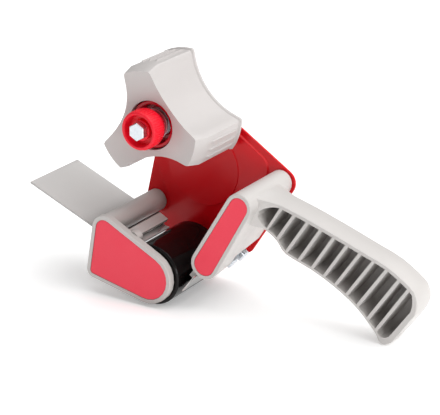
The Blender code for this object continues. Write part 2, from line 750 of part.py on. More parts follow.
def build_brake_cup(parent, materials):
    """Cup that seats the brake spring and rubs on the hub's recess floor."""
    outer = HUB_RECESS_RADIUS - FIT * 2
    inner = outer - CUP_WALL
    bore = SPINDLE_RADIUS + FIT
    profile = [
        (bore, CUP_FLOOR_Y),
        (inner - CUP_FLOOR / 2, CUP_FLOOR_Y),
        (inner, CUP_FLOOR_Y - CUP_FLOOR / 2),
        (inner, CUP_RIM_Y + TINY_BEVEL),
        (inner + TINY_BEVEL, CUP_RIM_Y),
        (outer - TINY_BEVEL, CUP_RIM_Y),
        (outer, CUP_RIM_Y + TINY_BEVEL),
        (outer, CUP_BACK_Y),
        (bore, CUP_BACK_Y),
    ]
    turned("brake_cup", profile, parent, materials["dark_red_plastic"])


def build_brake_spring(parent, materials):
    """Compression spring between the washer and the cup's floor."""
    start_y = WASHER_FAR_Y + FIT + BRAKE_WIRE_RADIUS
    end_y = CUP_FLOOR_Y - FIT - BRAKE_WIRE_RADIUS
    steps = int(BRAKE_CURLS * COIL_POINTS)
    points = []
    for step in range(steps + 1):
        share = step / steps
        x, z = polar(BRAKE_COIL_RADIUS, math.tau * BRAKE_CURLS * share)
        points.append(Vector((x, start_y + (end_y - start_y) * share, z)))
    straight = 2 * BRAKE_WIRE_RADIUS
    first = (points[0] - points[1]).normalized()
    last = (points[-1] - points[-2]).normalized()
    points = [points[0] + first * straight] + points + [points[-1] + last * straight]
    print_self_gap("brake_spring", points, BRAKE_WIRE_RADIUS, COIL_POINTS)
    wire("brake_spring", points, BRAKE_WIRE_RADIUS, parent, materials["zinc_steel"])


def build_washer(parent, materials):
    """Thrust washer between the knob and the brake spring."""
    bore = BOLT_RADIUS + FIT
    profile = [
        (bore, WASHER_NEAR_Y),
        (WASHER_RADIUS, WASHER_NEAR_Y),
        (WASHER_RADIUS, WASHER_FAR_Y),
        (bore, WASHER_FAR_Y),
    ]
    turned("thrust_washer", profile, parent, materials["zinc_steel"],
           steps=MEDIUM_ROUND_STEPS)


def build_knob(parent, materials):
    """Knurled brake knob with a rear collar and a dish round the bolt head's seat."""
    rim = KNOB_RADIUS - KNOB_CHAMFER
    bore = BOLT_RADIUS + FIT
    profile = [
        (bore, KNOB_COLLAR_Y),
        (KNOB_COLLAR_RADIUS, KNOB_COLLAR_Y),
        (KNOB_COLLAR_RADIUS, KNOB_BACK_Y),
        (rim, KNOB_BACK_Y),
        (KNOB_RADIUS, KNOB_BACK_Y - KNOB_CHAMFER),
        (KNOB_RADIUS, KNOB_NEAR_Y + KNOB_CHAMFER),
        (rim, KNOB_NEAR_Y),
        (KNOB_RECESS_RADIUS, KNOB_NEAR_Y),
        (KNOB_RECESS_RADIUS - KNOB_CHAMFER, KNOB_RECESS_FLOOR_Y),
        (KNOB_BOSS_RADIUS, KNOB_RECESS_FLOOR_Y),
        (KNOB_BOSS_RADIUS, KNOB_BOSS_Y),
        (bore, KNOB_BOSS_Y),
    ]
    mesh = turned_mesh("brake_knob", profile, KNOB_TEETH * KNURL_STEPS_PER_TOOTH,
                       KNOB_TOOTH_DEPTH, knurled=(4, 5))
    shade(place("brake_knob", mesh, parent, materials["bright_red_plastic"]))


def build_bolt(parent, materials):
    """Hexagon bolt that turns with the knob and screws into the spindle."""
    head_back = KNOB_BOSS_Y - FIT
    head_front = head_back - BOLT_HEAD
    rings = [
        hexagon(BOLT_ACROSS_FLATS, head_front, BOLT_CHAMFER),
        hexagon(BOLT_ACROSS_FLATS, head_front + BOLT_CHAMFER),
        hexagon(BOLT_ACROSS_FLATS, head_back),
    ]
    bolt = place("tension_bolt", mesh_from_rings("tension_bolt", rings), parent,
                 materials["zinc_steel"])
    shank = [(0.0, head_back - BOLT_HEAD / 2), (BOLT_RADIUS, head_back - BOLT_HEAD / 2),
             (BOLT_RADIUS, BOLT_TIP_Y - BOLT_CHAMFER),
             (BOLT_RADIUS - BOLT_CHAMFER, BOLT_TIP_Y), (0.0, BOLT_TIP_Y)]
    fuse(bolt, turned("bolt_shank", shank, parent, steps=SMALL_ROUND_STEPS))


def build_roller(parent, materials):
    """Glossy sleeve on a moulded two-web core with plain bushes."""
    inner = ROLLER_RADIUS - ROLLER_WALL
    sleeve = [
        (inner, ROLLER_NEAR_Y),
        (ROLLER_RADIUS - ROLLER_CHAMFER, ROLLER_NEAR_Y),
        (ROLLER_RADIUS, ROLLER_NEAR_Y + ROLLER_CHAMFER),
        (ROLLER_RADIUS, ROLLER_FAR_Y - ROLLER_CHAMFER),
        (ROLLER_RADIUS - ROLLER_CHAMFER, ROLLER_FAR_Y),
        (inner, ROLLER_FAR_Y),
    ]
    turned("roller_sleeve", sleeve, parent, materials["black_rubber"])

    outer = inner - FIT
    rim = outer - ROLLER_CORE_WALL
    bore = AXLE_RADIUS + BUSH_WALL + FIT * 2
    near_web = ROLLER_NEAR_Y + ROLLER_WEB_SET_BACK
    far_web = ROLLER_FAR_Y - ROLLER_WEB_SET_BACK
    core = [
        (bore, ROLLER_NEAR_Y), (ROLLER_HUB_RADIUS, ROLLER_NEAR_Y),
        (ROLLER_HUB_RADIUS, near_web), (rim, near_web), (rim, ROLLER_NEAR_Y),
        (outer, ROLLER_NEAR_Y), (outer, ROLLER_FAR_Y), (rim, ROLLER_FAR_Y),
        (rim, far_web), (ROLLER_HUB_RADIUS, far_web),
        (ROLLER_HUB_RADIUS, ROLLER_FAR_Y), (bore, ROLLER_FAR_Y),
    ]
    turned("roller_core", core, parent, materials["black_plastic"],
           steps=MEDIUM_ROUND_STEPS)

    bush_inner = AXLE_RADIUS + FIT
    bush_outer = bush_inner + BUSH_WALL
    starts = (("roller_bush_near", ROLLER_NEAR_Y),
              ("roller_bush_far", ROLLER_FAR_Y - BUSH_LENGTH))
    for name, start in starts:
        profile = [(bush_inner, start), (bush_outer, start),
                   (bush_outer, start + BUSH_LENGTH), (bush_inner, start + BUSH_LENGTH)]
        turned(name, profile, parent, materials["bronze_bush"], steps=SMALL_ROUND_STEPS)


def build_axle(parent, materials):
    """Roller axle from the near plate to the frame, with spacer, washer and nut."""
    end_y = PANEL_OUTER_Y + AXLE_THREAD_OUT
    axle = [
        (0.0, NEAR_PLATE_Y + NEAR_PLATE / 2), (AXLE_RADIUS, NEAR_PLATE_Y + NEAR_PLATE / 2),
        (AXLE_RADIUS, PANEL_INNER_Y - FIT), (AXLE_THREAD_RADIUS, PANEL_INNER_Y - FIT),
        (AXLE_THREAD_RADIUS, end_y - BOLT_CHAMFER),
        (AXLE_THREAD_RADIUS - BOLT_CHAMFER, end_y), (0.0, end_y),
    ]
    turned("roller_axle", axle, parent, materials["zinc_steel"], *ROLLER_CENTRE,
           steps=SMALL_ROUND_STEPS)
    spacer = [
        (AXLE_RADIUS + FIT, ROLLER_FAR_Y + FIT), (SPACER_RADIUS, ROLLER_FAR_Y + FIT),
        (SPACER_RADIUS, PANEL_INNER_Y - FIT), (AXLE_RADIUS + FIT, PANEL_INNER_Y - FIT),
    ]
    turned("roller_spacer", spacer, parent, materials["black_plastic"], *ROLLER_CENTRE,
           steps=SMALL_ROUND_STEPS)
    washer_y = PANEL_OUTER_Y + FIT
    washer = [
        (AXLE_THREAD_RADIUS + FIT, washer_y), (NUT_WASHER_RADIUS, washer_y),
        (NUT_WASHER_RADIUS, washer_y + NUT_WASHER_THICKNESS),
        (AXLE_THREAD_RADIUS + FIT, washer_y + NUT_WASHER_THICKNESS),
    ]
    turned("axle_washer", washer, parent, materials["zinc_steel"], *ROLLER_CENTRE,
           steps=SMALL_ROUND_STEPS)
    nut_y = washer_y + NUT_WASHER_THICKNESS + FIT
    nut_end = nut_y + NUT_HEIGHT
    rings = [hexagon(NUT_ACROSS_FLATS, nut_y),
             hexagon(NUT_ACROSS_FLATS, nut_end - BOLT_CHAMFER),
             hexagon(NUT_ACROSS_FLATS, nut_end, BOLT_CHAMFER)]
    nut = place("axle_nut", mesh_from_rings("axle_nut", rings), parent,
                materials["zinc_steel"], *ROLLER_CENTRE)
    bore = arc((0.0, 0.0), AXLE_THREAD_RADIUS + FIT, 0.0, math.tau, SMALL_ROUND_STEPS)
    cut(nut, slab("nut_bore", bore[:-1], nut_y - OVERRUN, nut_end + OVERRUN, parent,
                  None, *ROLLER_CENTRE))


def near_plate_discs():
    """Discs whose hull is the outline of the near side plate."""
    return [
        (*NEAR_PLATE_TOP, NEAR_PLATE_TOP_RADIUS),
        (*NEAR_PLATE_TOE, NEAR_PLATE_TOE_RADIUS),
        (*ROLLER_CENTRE, NEAR_PLATE_ROLLER_RADIUS),
    ]


def on_bar(across, down):
    """Point across the guide bar's width and down through its thickness."""
    return (BAR_LEFT_TOP[0] + BAR_ACROSS[0] * across + BAR_DOWN[0] * down,
            BAR_LEFT_TOP[1] + BAR_ACROSS[1] * across + BAR_DOWN[1] * down)


def build_front_housing(parent, materials):
    """Near side plate with the front tube, pin boss and guide bar moulded on."""
    plate = slab("front_housing", hull_of_discs(near_plate_discs()), NEAR_PLATE_Y,
                 NEAR_PLATE_INNER_Y, parent, materials["light_grey_plastic"])
    bevel_edges(plate)

    tube = [
        (0.0, NEAR_PLATE_INNER_Y - OVERRUN),
        (FRONT_TUBE_RADIUS, NEAR_PLATE_INNER_Y - OVERRUN),
        (FRONT_TUBE_RADIUS, TUBE_END_Y),
        (FRONT_TUBE_RADIUS - TUBE_WALL, TUBE_END_Y),
        (FRONT_TUBE_RADIUS - TUBE_WALL, NEAR_PLATE_INNER_Y + TUBE_WALL),
        (POST_RADIUS, NEAR_PLATE_INNER_Y + TUBE_WALL),
        (POST_RADIUS, TUBE_END_Y),
        (POST_HOLE_RADIUS, TUBE_END_Y),
        (POST_HOLE_RADIUS, TUBE_END_Y - POST_HOLE_DEPTH),
        (0.0, TUBE_END_Y - POST_HOLE_DEPTH),
    ]
    fuse(plate, turned("front_tube", tube, parent, None, *FRONT_TUBE_CENTRE))

    boss = hull_of_discs([(*BOSS_CENTRE, BOSS_RADIUS), (*PIN_CENTRE, BOSS_PIN_RADIUS)])
    fuse(plate, slab("pin_boss", boss, NEAR_PLATE_INNER_Y - OVERRUN, BOSS_FACE_Y, parent))

    bar = [on_bar(0.0, 0.0), on_bar(BAR_WIDTH, 0.0), on_bar(BAR_WIDTH, BAR_THICKNESS),
           on_bar(0.0, BAR_THICKNESS)]
    fuse(plate, slab("guide_bar", bar, NEAR_PLATE_INNER_Y - OVERRUN, BAR_END_Y, parent))
    lug = hull_of_discs([
        (*on_bar(BAR_WIDTH / 2, BAR_THICKNESS / 2), BAR_THICKNESS * BAR_LUG_ROOT_SHARE),
        (*PIN_CENTRE, BAR_LUG_RADIUS),
    ])
    fuse(plate, slab("bar_lug", lug, LUG_NEAR_Y, BAR_END_Y - OVERRUN / 2, parent))

    pin_hole = arc((0.0, 0.0), PIN_RADIUS + FIT, 0.0, math.tau, SMALL_ROUND_STEPS)[:-1]
    cut(plate, slab("pin_hole", pin_hole, NEAR_PLATE_Y + NEAR_PLATE / 2 - FIT,
                    BAR_END_Y + OVERRUN, parent, None, *PIN_CENTRE))
    axle_seat = arc((0.0, 0.0), AXLE_RADIUS + FIT, 0.0, math.tau, SMALL_ROUND_STEPS)[:-1]
    cut(plate, slab("axle_seat", axle_seat, NEAR_PLATE_Y + NEAR_PLATE / 2 - FIT,
                    NEAR_PLATE_INNER_Y + OVERRUN, parent, None, *ROLLER_CENTRE))
    pocket = hull_of_discs(grow(near_plate_discs(), -LABEL_RIM))
    cut(plate, slab("front_label_pocket", pocket, NEAR_PLATE_Y - OVERRUN,
                    NEAR_PLATE_Y + LABEL_POCKET, parent))

    label = hull_of_discs(grow(near_plate_discs(), -LABEL_RIM - FIT))
    slab("front_label", label, NEAR_PLATE_Y + LABEL_SUNK,
         NEAR_PLATE_Y + LABEL_SUNK + LABEL_THICKNESS, parent, materials["red_inset"])


def bevel_edges(item):
    """Break the sharp outer edges of a moulding."""
    modifier = item.modifiers.new("broken_edges", "BEVEL")
    modifier.width = TINY_BEVEL
    modifier.segments = 1
    modifier.limit_method = "ANGLE"
    modifier.angle_limit = math.pi / 4
    return item


def build_return_stop(pivot, parent, materials):
    """Sprung stop that keeps the tape on the roller, with its pin and spring."""
    near_y = BOSS_FACE_Y + FIT
    knuckle_end = near_y + STOP_KNUCKLE_LENGTH
    reach = ROLLER_RADIUS + FIT + STOP_TIP_RADIUS
    tip = (ROLLER_CENTRE[0] + reach * math.cos(STOP_TIP_ANGLE) - PIN_CENTRE[0],
           ROLLER_CENTRE[1] + reach * math.sin(STOP_TIP_ANGLE) - PIN_CENTRE[1])
    knuckle = [
        (PIN_RADIUS + FIT, near_y), (STOP_KNUCKLE_RADIUS, near_y),
        (STOP_KNUCKLE_RADIUS, knuckle_end), (PIN_RADIUS + FIT, knuckle_end),
    ]
    stop = turned("return_stop", knuckle, pivot, materials["grey_wiper_plastic"],
                  steps=SMALL_ROUND_STEPS)
    root_x = PIN_RADIUS + FIT + STOP_ROOT_RADIUS
    leaf = hull_of_discs([(root_x, 0.0, STOP_ROOT_RADIUS), (*tip, STOP_TIP_RADIUS)])
    fuse(stop, slab("stop_leaf", leaf, near_y + TINY_BEVEL, knuckle_end - TINY_BEVEL,
                    pivot))
    ledge_root = (tip[0] * STOP_LEDGE_SHARE, tip[1] * STOP_LEDGE_SHARE)
    ledge = hull_of_discs([(*ledge_root, STOP_TIP_RADIUS), (*tip, STOP_TIP_RADIUS)])
    fuse(stop, slab("stop_ledge", ledge, knuckle_end - OVERRUN, LUG_NEAR_Y - FIT, pivot))

    pin = [(0.0, NEAR_PLATE_Y + NEAR_PLATE / 2), (PIN_RADIUS, NEAR_PLATE_Y + NEAR_PLATE / 2),
           (PIN_RADIUS, BAR_END_Y), (0.0, BAR_END_Y)]
    turned("stop_pin", pin, parent, materials["zinc_steel"], *PIN_CENTRE,
           steps=SMALL_ROUND_STEPS)

    points = stop_spring_points(tip)
    print_self_gap("stop_spring", points, STOP_WIRE_RADIUS, COIL_POINTS)
    wire("stop_spring", points, STOP_WIRE_RADIUS, parent, materials["zinc_steel"],
         *PIN_CENTRE)


def stop_spring_points(stop_tip):
    """Torsion spring round the pin, measured from the pin's centre.

    One leg runs back along the stop to its tip, the other lies under the guide bar.
    """
    far_y = LUG_NEAR_Y - FIT - STOP_WIRE_RADIUS
    leave = math.pi / 2 + STOP_LEG_SLOPE
    turns = math.tau * STOP_CURLS + math.tau - leave
    near_y = far_y - STOP_PITCH * turns / math.tau
    over_tip = STOP_TIP_RADIUS + FIT + STOP_WIRE_RADIUS
    tip = Vector((stop_tip[0] * STOP_LEG_TIP_SHARE, far_y - STOP_LEG_RUN,
                  stop_tip[1] * STOP_LEG_TIP_SHARE + over_tip))
    x, z = polar(STOP_COIL_RADIUS, leave)
    bend = Vector((x + STOP_LEG * math.cos(STOP_LEG_SLOPE), far_y,
                   z + STOP_LEG * math.sin(STOP_LEG_SLOPE)))
    points = [tip, bend]
    steps = round(turns / math.tau * COIL_POINTS)
    for step in range(steps + 1):
        share = step / steps
        x, z = polar(STOP_COIL_RADIUS, leave + turns * share)
        points.append(Vector((x, far_y + (near_y - far_y) * share, z)))
    below_x, below_z = on_bar(0.0, BAR_THICKNESS + FIT + STOP_WIRE_RADIUS)
    run = (PIN_CENTRE[0] + STOP_COIL_RADIUS - below_x) / BAR_ACROSS[0]
    corner = Vector((STOP_COIL_RADIUS, near_y, below_z + BAR_ACROSS[1] * run - PIN_CENTRE[1]))
    slope = Vector((BAR_ACROSS[0], 0.0, BAR_ACROSS[1]))
    return points + [corner, corner - slope * STOP_BAR_LEG]


def build_wiper(pivot, materials):
    """Springy wiper: a flat sheet that leaves a cradle hooked under the front tube."""
    inner = FRONT_TUBE_RADIUS + FIT
    outer = inner + WIPER_THICKNESS
    leave = WIPER_SLOPE + math.pi / 2
    along = (math.cos(WIPER_SLOPE), math.sin(WIPER_SLOPE))
    outward = (math.cos(leave), math.sin(leave))
    notch = leave - math.acos(inner / outer)
    tip = [
        (outward[0] * inner + along[0] * WIPER_LENGTH,
         outward[1] * inner + along[1] * WIPER_LENGTH),
        (outward[0] * outer + along[0] * WIPER_LENGTH,
         outward[1] * outer + along[1] * WIPER_LENGTH),
    ]
    centre = (0.0, 0.0)
    outline = arc(centre, inner, WIPER_CRADLE_TO, WIPER_CRADLE_FROM, 2 * HULL_STEPS)
    outline += arc(centre, outer, WIPER_CRADLE_FROM, notch, HULL_STEPS // 2)
    outline += tip
    outline += arc(centre, outer, leave, WIPER_CRADLE_TO, HULL_STEPS)
    slab("wiper", outline, WIPER_NEAR_Y, WIPER_NEAR_Y + WIPER_WIDTH, pivot,
         materials["grey_wiper_plastic"])


def cheek_discs(inset=0.0, far_end=False):
    """Discs whose hull is the handle's cheek, drawn in by inset.

    The far end leans to one side and is slimmer than the near one by its draft.
    """
    top_draft = CHEEK_TOP_DRAFT if far_end else 0.0
    foot_draft = CHEEK_FOOT_DRAFT if far_end else 0.0
    shift_x, shift_z = CHEEK_FAR_SHIFT if far_end else (0.0, 0.0)
    return [
        (CHEEK_TOP[0] + shift_x, CHEEK_TOP[1] + shift_z,
         CHEEK_TOP_RADIUS - top_draft - inset),
        (CHEEK_FOOT[0] + shift_x, CHEEK_FOOT[1] + shift_z,
         CHEEK_FOOT_RADIUS - foot_draft - inset),
    ]


def grip_edges():
    """Upper and lower grip edge points in metres, station by station."""
    def scaled(share):
        return (CHEEK_TOP[0] + GRIP_REACH * share[0], CHEEK_TOP[1] + GRIP_DROP * share[1])
    upper = [scaled(pair[0]) for pair in GRIP_EDGE_SHARES]
    lower = [scaled(pair[1]) for pair in GRIP_EDGE_SHARES]
    return upper, lower


def grip_section(position, near_y, far_y, inset, near_round, back_round, height_share=1.0):
    """D-shaped cross-section of the grip at a fractional station.

    The near side is nearly flat, the far side well rounded. inset draws the upper
    and lower walls in, and height_share shrinks the section about its middle.
    """
    upper, lower = grip_edges()
    top_x, top_z = smooth_point(upper, position)
    foot_x, foot_z = smooth_point(lower, position)
    middle = Vector(((top_x + foot_x) / 2, 0.0, (top_z + foot_z) / 2))
    rise = Vector(((top_x - foot_x) / 2, 0.0, (top_z - foot_z) / 2))
    up = rise.normalized()
    half = (rise.length - inset) * height_share
    near = (min(near_round, half / 2), min(near_round, half / 2))
    back = (min(back_round, half * BACK_ROUND_SHARE),
            min(back_round, (far_y - near_y) * BACK_ROUND_SHARE))
    corners = (
        (1, far_y - back[1], back, BACK_ROUND_STEPS),
        (-1, far_y - back[1], back, BACK_ROUND_STEPS),
        (-1, near_y + near[1], near, NEAR_ROUND_STEPS),
        (1, near_y + near[1], near, NEAR_ROUND_STEPS),
    )
    ring = []
    for quarter, (side, centre_y, (round_z, round_y), steps) in enumerate(corners):
        centre_z = side * (half - round_z)
        for step in range(steps + 1):
            angle = math.pi / 2 * (quarter + step / steps)
            depth = Vector((0.0, centre_y + round_y * math.sin(angle), 0.0))
            ring.append(middle + up * (centre_z + round_z * math.cos(angle)) + depth)
    return ring


def grip_depth(position):
    """Depth of the grip from its near side, less towards the free end."""
    last = len(GRIP_EDGE_SHARES) - 1
    run = last - GRIP_CLOSING_STATION
    closing = max(0.0, (position - GRIP_CLOSING_STATION) / run)
    keep = math.sqrt(max(0.0, 1.0 - closing ** 2))
    return GRIP_END_DEPTH + (GRIP_DEPTH - GRIP_END_DEPTH) * keep


def grip_body_ring(position):
    """Outer cross-section of the grip, flared at the cheek and drawn in at the end."""
    flare = max(0.0, 1.0 - position / GRIP_FIRST_RIB_STATION) ** 2
    depth = grip_depth(position)
    return grip_section(position, GRIP_NEAR_Y - GRIP_FLARE * flare,
                        GRIP_NEAR_Y + depth + GRIP_FLARE * flare, 0.0,
                        GRIP_NEAR_ROUND, GRIP_BACK_ROUND)


def grip_bay_ring(position, height_share=1.0):
    """Cross-section of the hollow between two ribs of the grip."""
    floor_y = GRIP_NEAR_Y + grip_depth(position) - GRIP_BACK_WALL
    return grip_section(position, GRIP_NEAR_Y - GRIP_FLARE - OVERRUN, floor_y,
                        GRIP_WALL, TINY_BEVEL,
                        GRIP_BACK_ROUND - GRIP_WALL, height_share)


def rib_stations():
    """Fractional stations of the grip's ribs, evenly spaced along the upper edge."""
    upper, _ = grip_edges()
    samples = np.linspace(GRIP_FIRST_RIB_STATION, GRIP_LAST_RIB_STATION, STATION_SAMPLES)
    places = np.array([smooth_point(upper, position) for position in samples])
    runs = np.linalg.norm(np.diff(places, axis=0), axis=1)
    lengths = np.concatenate(([0.0], np.cumsum(runs)))
    return [float(np.interp(GRIP_RIB_PITCH * rib, lengths, samples))
            for rib in range(GRIP_RIBS)]


def build_grip(handle, parent):
    """Join the grip to the handle and hollow it out between its ribs."""
    last = len(GRIP_EDGE_SHARES) - 1
    positions = [step / GRIP_STEPS for step in range(last * GRIP_STEPS + 1)]
    rings = [grip_body_ring(position) for position in positions]
    fuse(handle, place("grip_body", mesh_from_rings("grip_body", rings), parent, None))
    return handle


def bay_stops(bay):
    """Shares of a bay's length, each with its share of the bay's full height.

    The first bay swells from a round root and the last one has rounded far corners.
    """
    if bay == 0:
        sweep = math.pi / 2 - GRIP_ROOT_TURN
        turns = [GRIP_ROOT_TURN + sweep * step / GRIP_ROUND_BAY_STEPS
                 for step in range(GRIP_ROUND_BAY_STEPS + 1)]
        return [(1 - math.cos(turn) / math.cos(GRIP_ROOT_TURN), math.sin(turn))
                for turn in turns]
    if bay == GRIP_RIBS:
        turns = [GRIP_END_TURN * step / GRIP_ROUND_BAY_STEPS
                 for step in range(GRIP_ROUND_BAY_STEPS + 1)]
        pinch = GRIP_END_PINCH_SHARE / (1 - math.cos(GRIP_END_TURN))
        return [(math.sin(turn) / math.sin(GRIP_END_TURN),
                 1 - pinch * (1 - math.cos(turn))) for turn in turns]
    return [(step / GRIP_BAY_STEPS, 1.0) for step in range(GRIP_BAY_STEPS + 1)]


def build_grip_bays(handle, parent):
    """Cut the bays between the ribs, with rounded bays at both ends."""
    upper, _ = grip_edges()
    last = len(GRIP_EDGE_SHARES) - 1
    end = GRIP_LAST_RIB_STATION + (last - GRIP_LAST_RIB_STATION) * GRIP_END_BAY_SHARE
    marks = [GRIP_ROOT_BAY_SHARE] + rib_stations() + [end]
    for bay, (start, stop) in enumerate(zip(marks, marks[1:])):
        first = start + (half_rib(start, upper) if bay > 0 else 0.0)
        final = stop - (half_rib(stop, upper) if bay < GRIP_RIBS else 0.0)
        rings = [grip_bay_ring(first + (final - first) * share, height_share)
                 for share, height_share in bay_stops(bay)]
        name = f"grip_bay_{bay}"
        cut(handle, place(name, mesh_from_rings(name, rings), parent, None))
    return handle


def half_rib(position, upper):
    """Half a rib's thickness as a difference of station at a position."""
    here = np.array(smooth_point(upper, position - STATION_NUDGE_SHARE))
    there = np.array(smooth_point(upper, position + STATION_NUDGE_SHARE))
    metres_per_station = np.linalg.norm(there - here) / (2 * STATION_NUDGE_SHARE)
    return GRIP_RIB / 2 / metres_per_station


def build_handle(parent, materials):
    """Handle moulding: hollow cheek, blade seat, screw posts and ribbed grip."""
    rings = [section(hull_of_discs(cheek_discs()), CHEEK_NEAR_Y),
             section(hull_of_discs(cheek_discs(far_end=True)), TUBE_END_Y)]
    handle = shade(place("handle", mesh_from_rings("handle", rings), parent,
                         materials["light_grey_plastic"]))
    bevel_edges(handle)
    build_grip(handle, parent)
    inner = [section(hull_of_discs(cheek_discs(CHEEK_WALL)), CHEEK_HOLLOW_Y),
             section(hull_of_discs(cheek_discs(CHEEK_WALL, far_end=True)),
                     TUBE_END_Y + OVERRUN)]
    cut(handle, place("cheek_hollow", mesh_from_rings("cheek_hollow", inner), parent, None))
    build_grip_bays(handle, parent)

    post_end = TUBE_END_Y - FIT
    post = [
        (0.0, CHEEK_NEAR_Y + CHEEK_WALL), (POST_RADIUS, CHEEK_NEAR_Y + CHEEK_WALL),
        (POST_RADIUS, post_end), (POST_HOLE_RADIUS, post_end),
        (POST_HOLE_RADIUS, TUBE_END_Y - POST_HOLE_DEPTH),
        (0.0, TUBE_END_Y - POST_HOLE_DEPTH),
    ]
    for name, centre in (("upper_post", CHEEK_TOP), ("lower_post", LOWER_POST)):
        fuse(handle, turned(name, post, parent, None, *centre, steps=SMALL_ROUND_STEPS))

    build_blade_seat(handle, parent)
    pocket = hull_of_discs(cheek_discs(CHEEK_RIM))
    cut(handle, slab("handle_label_pocket", pocket, CHEEK_NEAR_Y - OVERRUN,
                     CHEEK_NEAR_Y + LABEL_POCKET, parent))
    label = hull_of_discs(cheek_discs(CHEEK_RIM + FIT))
    slab("handle_label", label, CHEEK_NEAR_Y + LABEL_SUNK,
         CHEEK_NEAR_Y + LABEL_SUNK + LABEL_THICKNESS, parent, materials["red_inset"])
    return handle


def blade_block(name, low, high, inner, outer, near_y, far_y, parent):
    """Block from low to high down the blade, from inner to outer across its faces."""
    outline = [along_blade(low, inner), along_blade(high, inner),
               along_blade(high, outer), along_blade(low, outer)]
    return slab(name, outline, near_y, far_y, parent)


def build_blade_seat(handle, parent):
    """Add the notch that bares the blade's screws, its walls and the blade's seat."""
    beyond = CHEEK_FOOT_RADIUS + OVERRUN
    walls = blade_block("notch_walls", -NOTCH_RISE - NOTCH_WALL, beyond,
                        -SEAT_THICKNESS / 2, beyond, NOTCH_NEAR_Y - NOTCH_WALL,
                        TUBE_END_Y - FIT, parent)
    limit = [section(hull_of_discs(cheek_discs(CHEEK_WALL / 2)), CHEEK_NEAR_Y),
             section(hull_of_discs(cheek_discs(CHEEK_WALL / 2, far_end=True)), TUBE_END_Y)]
    apply_boolean(walls, place("notch_limit", mesh_from_rings("notch_limit", limit),
                               parent, None), "INTERSECT")
    fuse(handle, walls)
    cut(handle, blade_block("screw_notch", -NOTCH_RISE, beyond, -2 * FIT, beyond,
                            NOTCH_NEAR_Y, TUBE_END_Y + OVERRUN, parent))
    cut(handle, blade_block("blade_slot", -BLADE_TANG_RISE - FIT, beyond, -FIT,
                            BLADE_OUTER_FACE + FIT, BLADE_TANG_NEAR_Y - FIT,
                            NOTCH_NEAR_Y + OVERRUN, parent))
    fuse(handle, blade_block("blade_seat", -SEAT_RISE, SEAT_REACH, -SEAT_THICKNESS, 0.0,
                             CHEEK_NEAR_Y + CHEEK_WALL, BLADE_FAR_Y, parent))


def build_blade(parent, materials):
    """Toothed steel blade whose tang reaches up between the seat and its screws."""
    teeth = round(BLADE_WIDTH / BLADE_TOOTH_PITCH)
    edge = []
    for step in range(2 * teeth + 1):
        y = BLADE_NEAR_Y + BLADE_WIDTH * step / (2 * teeth)
        wave = (1 + math.cos(math.tau * (y - BLADE_NEAR_Y) / BLADE_WAVE_PITCH)) / 2
        notch = BLADE_TOOTH_DEPTH if step % 2 == 0 else 0.0
        edge.append((y, BLADE_TOP + BLADE_HEIGHT - BLADE_WAVE_DEPTH * wave - notch))
    outline = [(BLADE_FAR_Y, -BLADE_TANG_RISE), (BLADE_TANG_NEAR_Y, -BLADE_TANG_RISE),
               (BLADE_TANG_NEAR_Y, BLADE_TOP), (BLADE_NEAR_Y, BLADE_TOP)] + edge
    rings = []
    for offset in (FIT, BLADE_OUTER_FACE):
        ring = []
        for y, distance in outline:
            x, z = along_blade(distance, offset)
            ring.append(Vector((x, y, z)))
        rings.append(ring)
    return place("blade", mesh_from_rings("blade", rings), parent,
                 materials["blade_steel"])


def square_to_blade(item, y):
    """Move a piece turned about Y onto the seat at y, its axis square to the blade."""
    x, z = along_blade(BLADE_SCREW_DROP)
    outward = Vector((BLADE_FACE_NORMAL[0], 0.0, BLADE_FACE_NORMAL[1]))
    item.location = (x, y, z)
    item.rotation_mode = "QUATERNION"
    item.rotation_quaternion = Vector((0.0, 1.0, 0.0)).rotation_difference(outward)
    return item


def build_blade_screws(handle, blade, parent, materials):
    """Ribbed thumb screws that clamp the blade's tang to its seat."""
    face = BLADE_OUTER_FACE + FIT
    end = face + BLADE_SCREW_HEAD
    places = {"blade_screw_near": BLADE_SCREW_NEAR_Y, "blade_screw_far": BLADE_SCREW_FAR_Y}
    screw = [
        (0.0, -BLADE_SCREW_BITE), (BLADE_SCREW_RADIUS, -BLADE_SCREW_BITE),
        (BLADE_SCREW_RADIUS, face), (BLADE_SCREW_HEAD_RADIUS, face),
        (BLADE_SCREW_HEAD_RADIUS, end - BLADE_SCREW_CHAMFER),
        (BLADE_SCREW_HEAD_RADIUS - BLADE_SCREW_CHAMFER, end), (0.0, end),
    ]
    hole = [
        (0.0, -BLADE_SCREW_BITE - FIT), (BLADE_SCREW_RADIUS + FIT, -BLADE_SCREW_BITE - FIT),
        (BLADE_SCREW_RADIUS + FIT, end), (0.0, end),
    ]
    for name, y in places.items():
        tool = square_to_blade(turned(f"{name}_hole", hole, parent,
                                      steps=SMALL_ROUND_STEPS), y)
        cut(handle, tool)
        cut(blade, tool)
        mesh = turned_mesh(name, screw, BLADE_SCREW_TEETH * KNURL_STEPS_PER_TOOTH,
                           BLADE_SCREW_TOOTH_DEPTH, knurled=(3, 4, 5))
        square_to_blade(shade(place(name, mesh, parent, materials["zinc_steel"])), y)


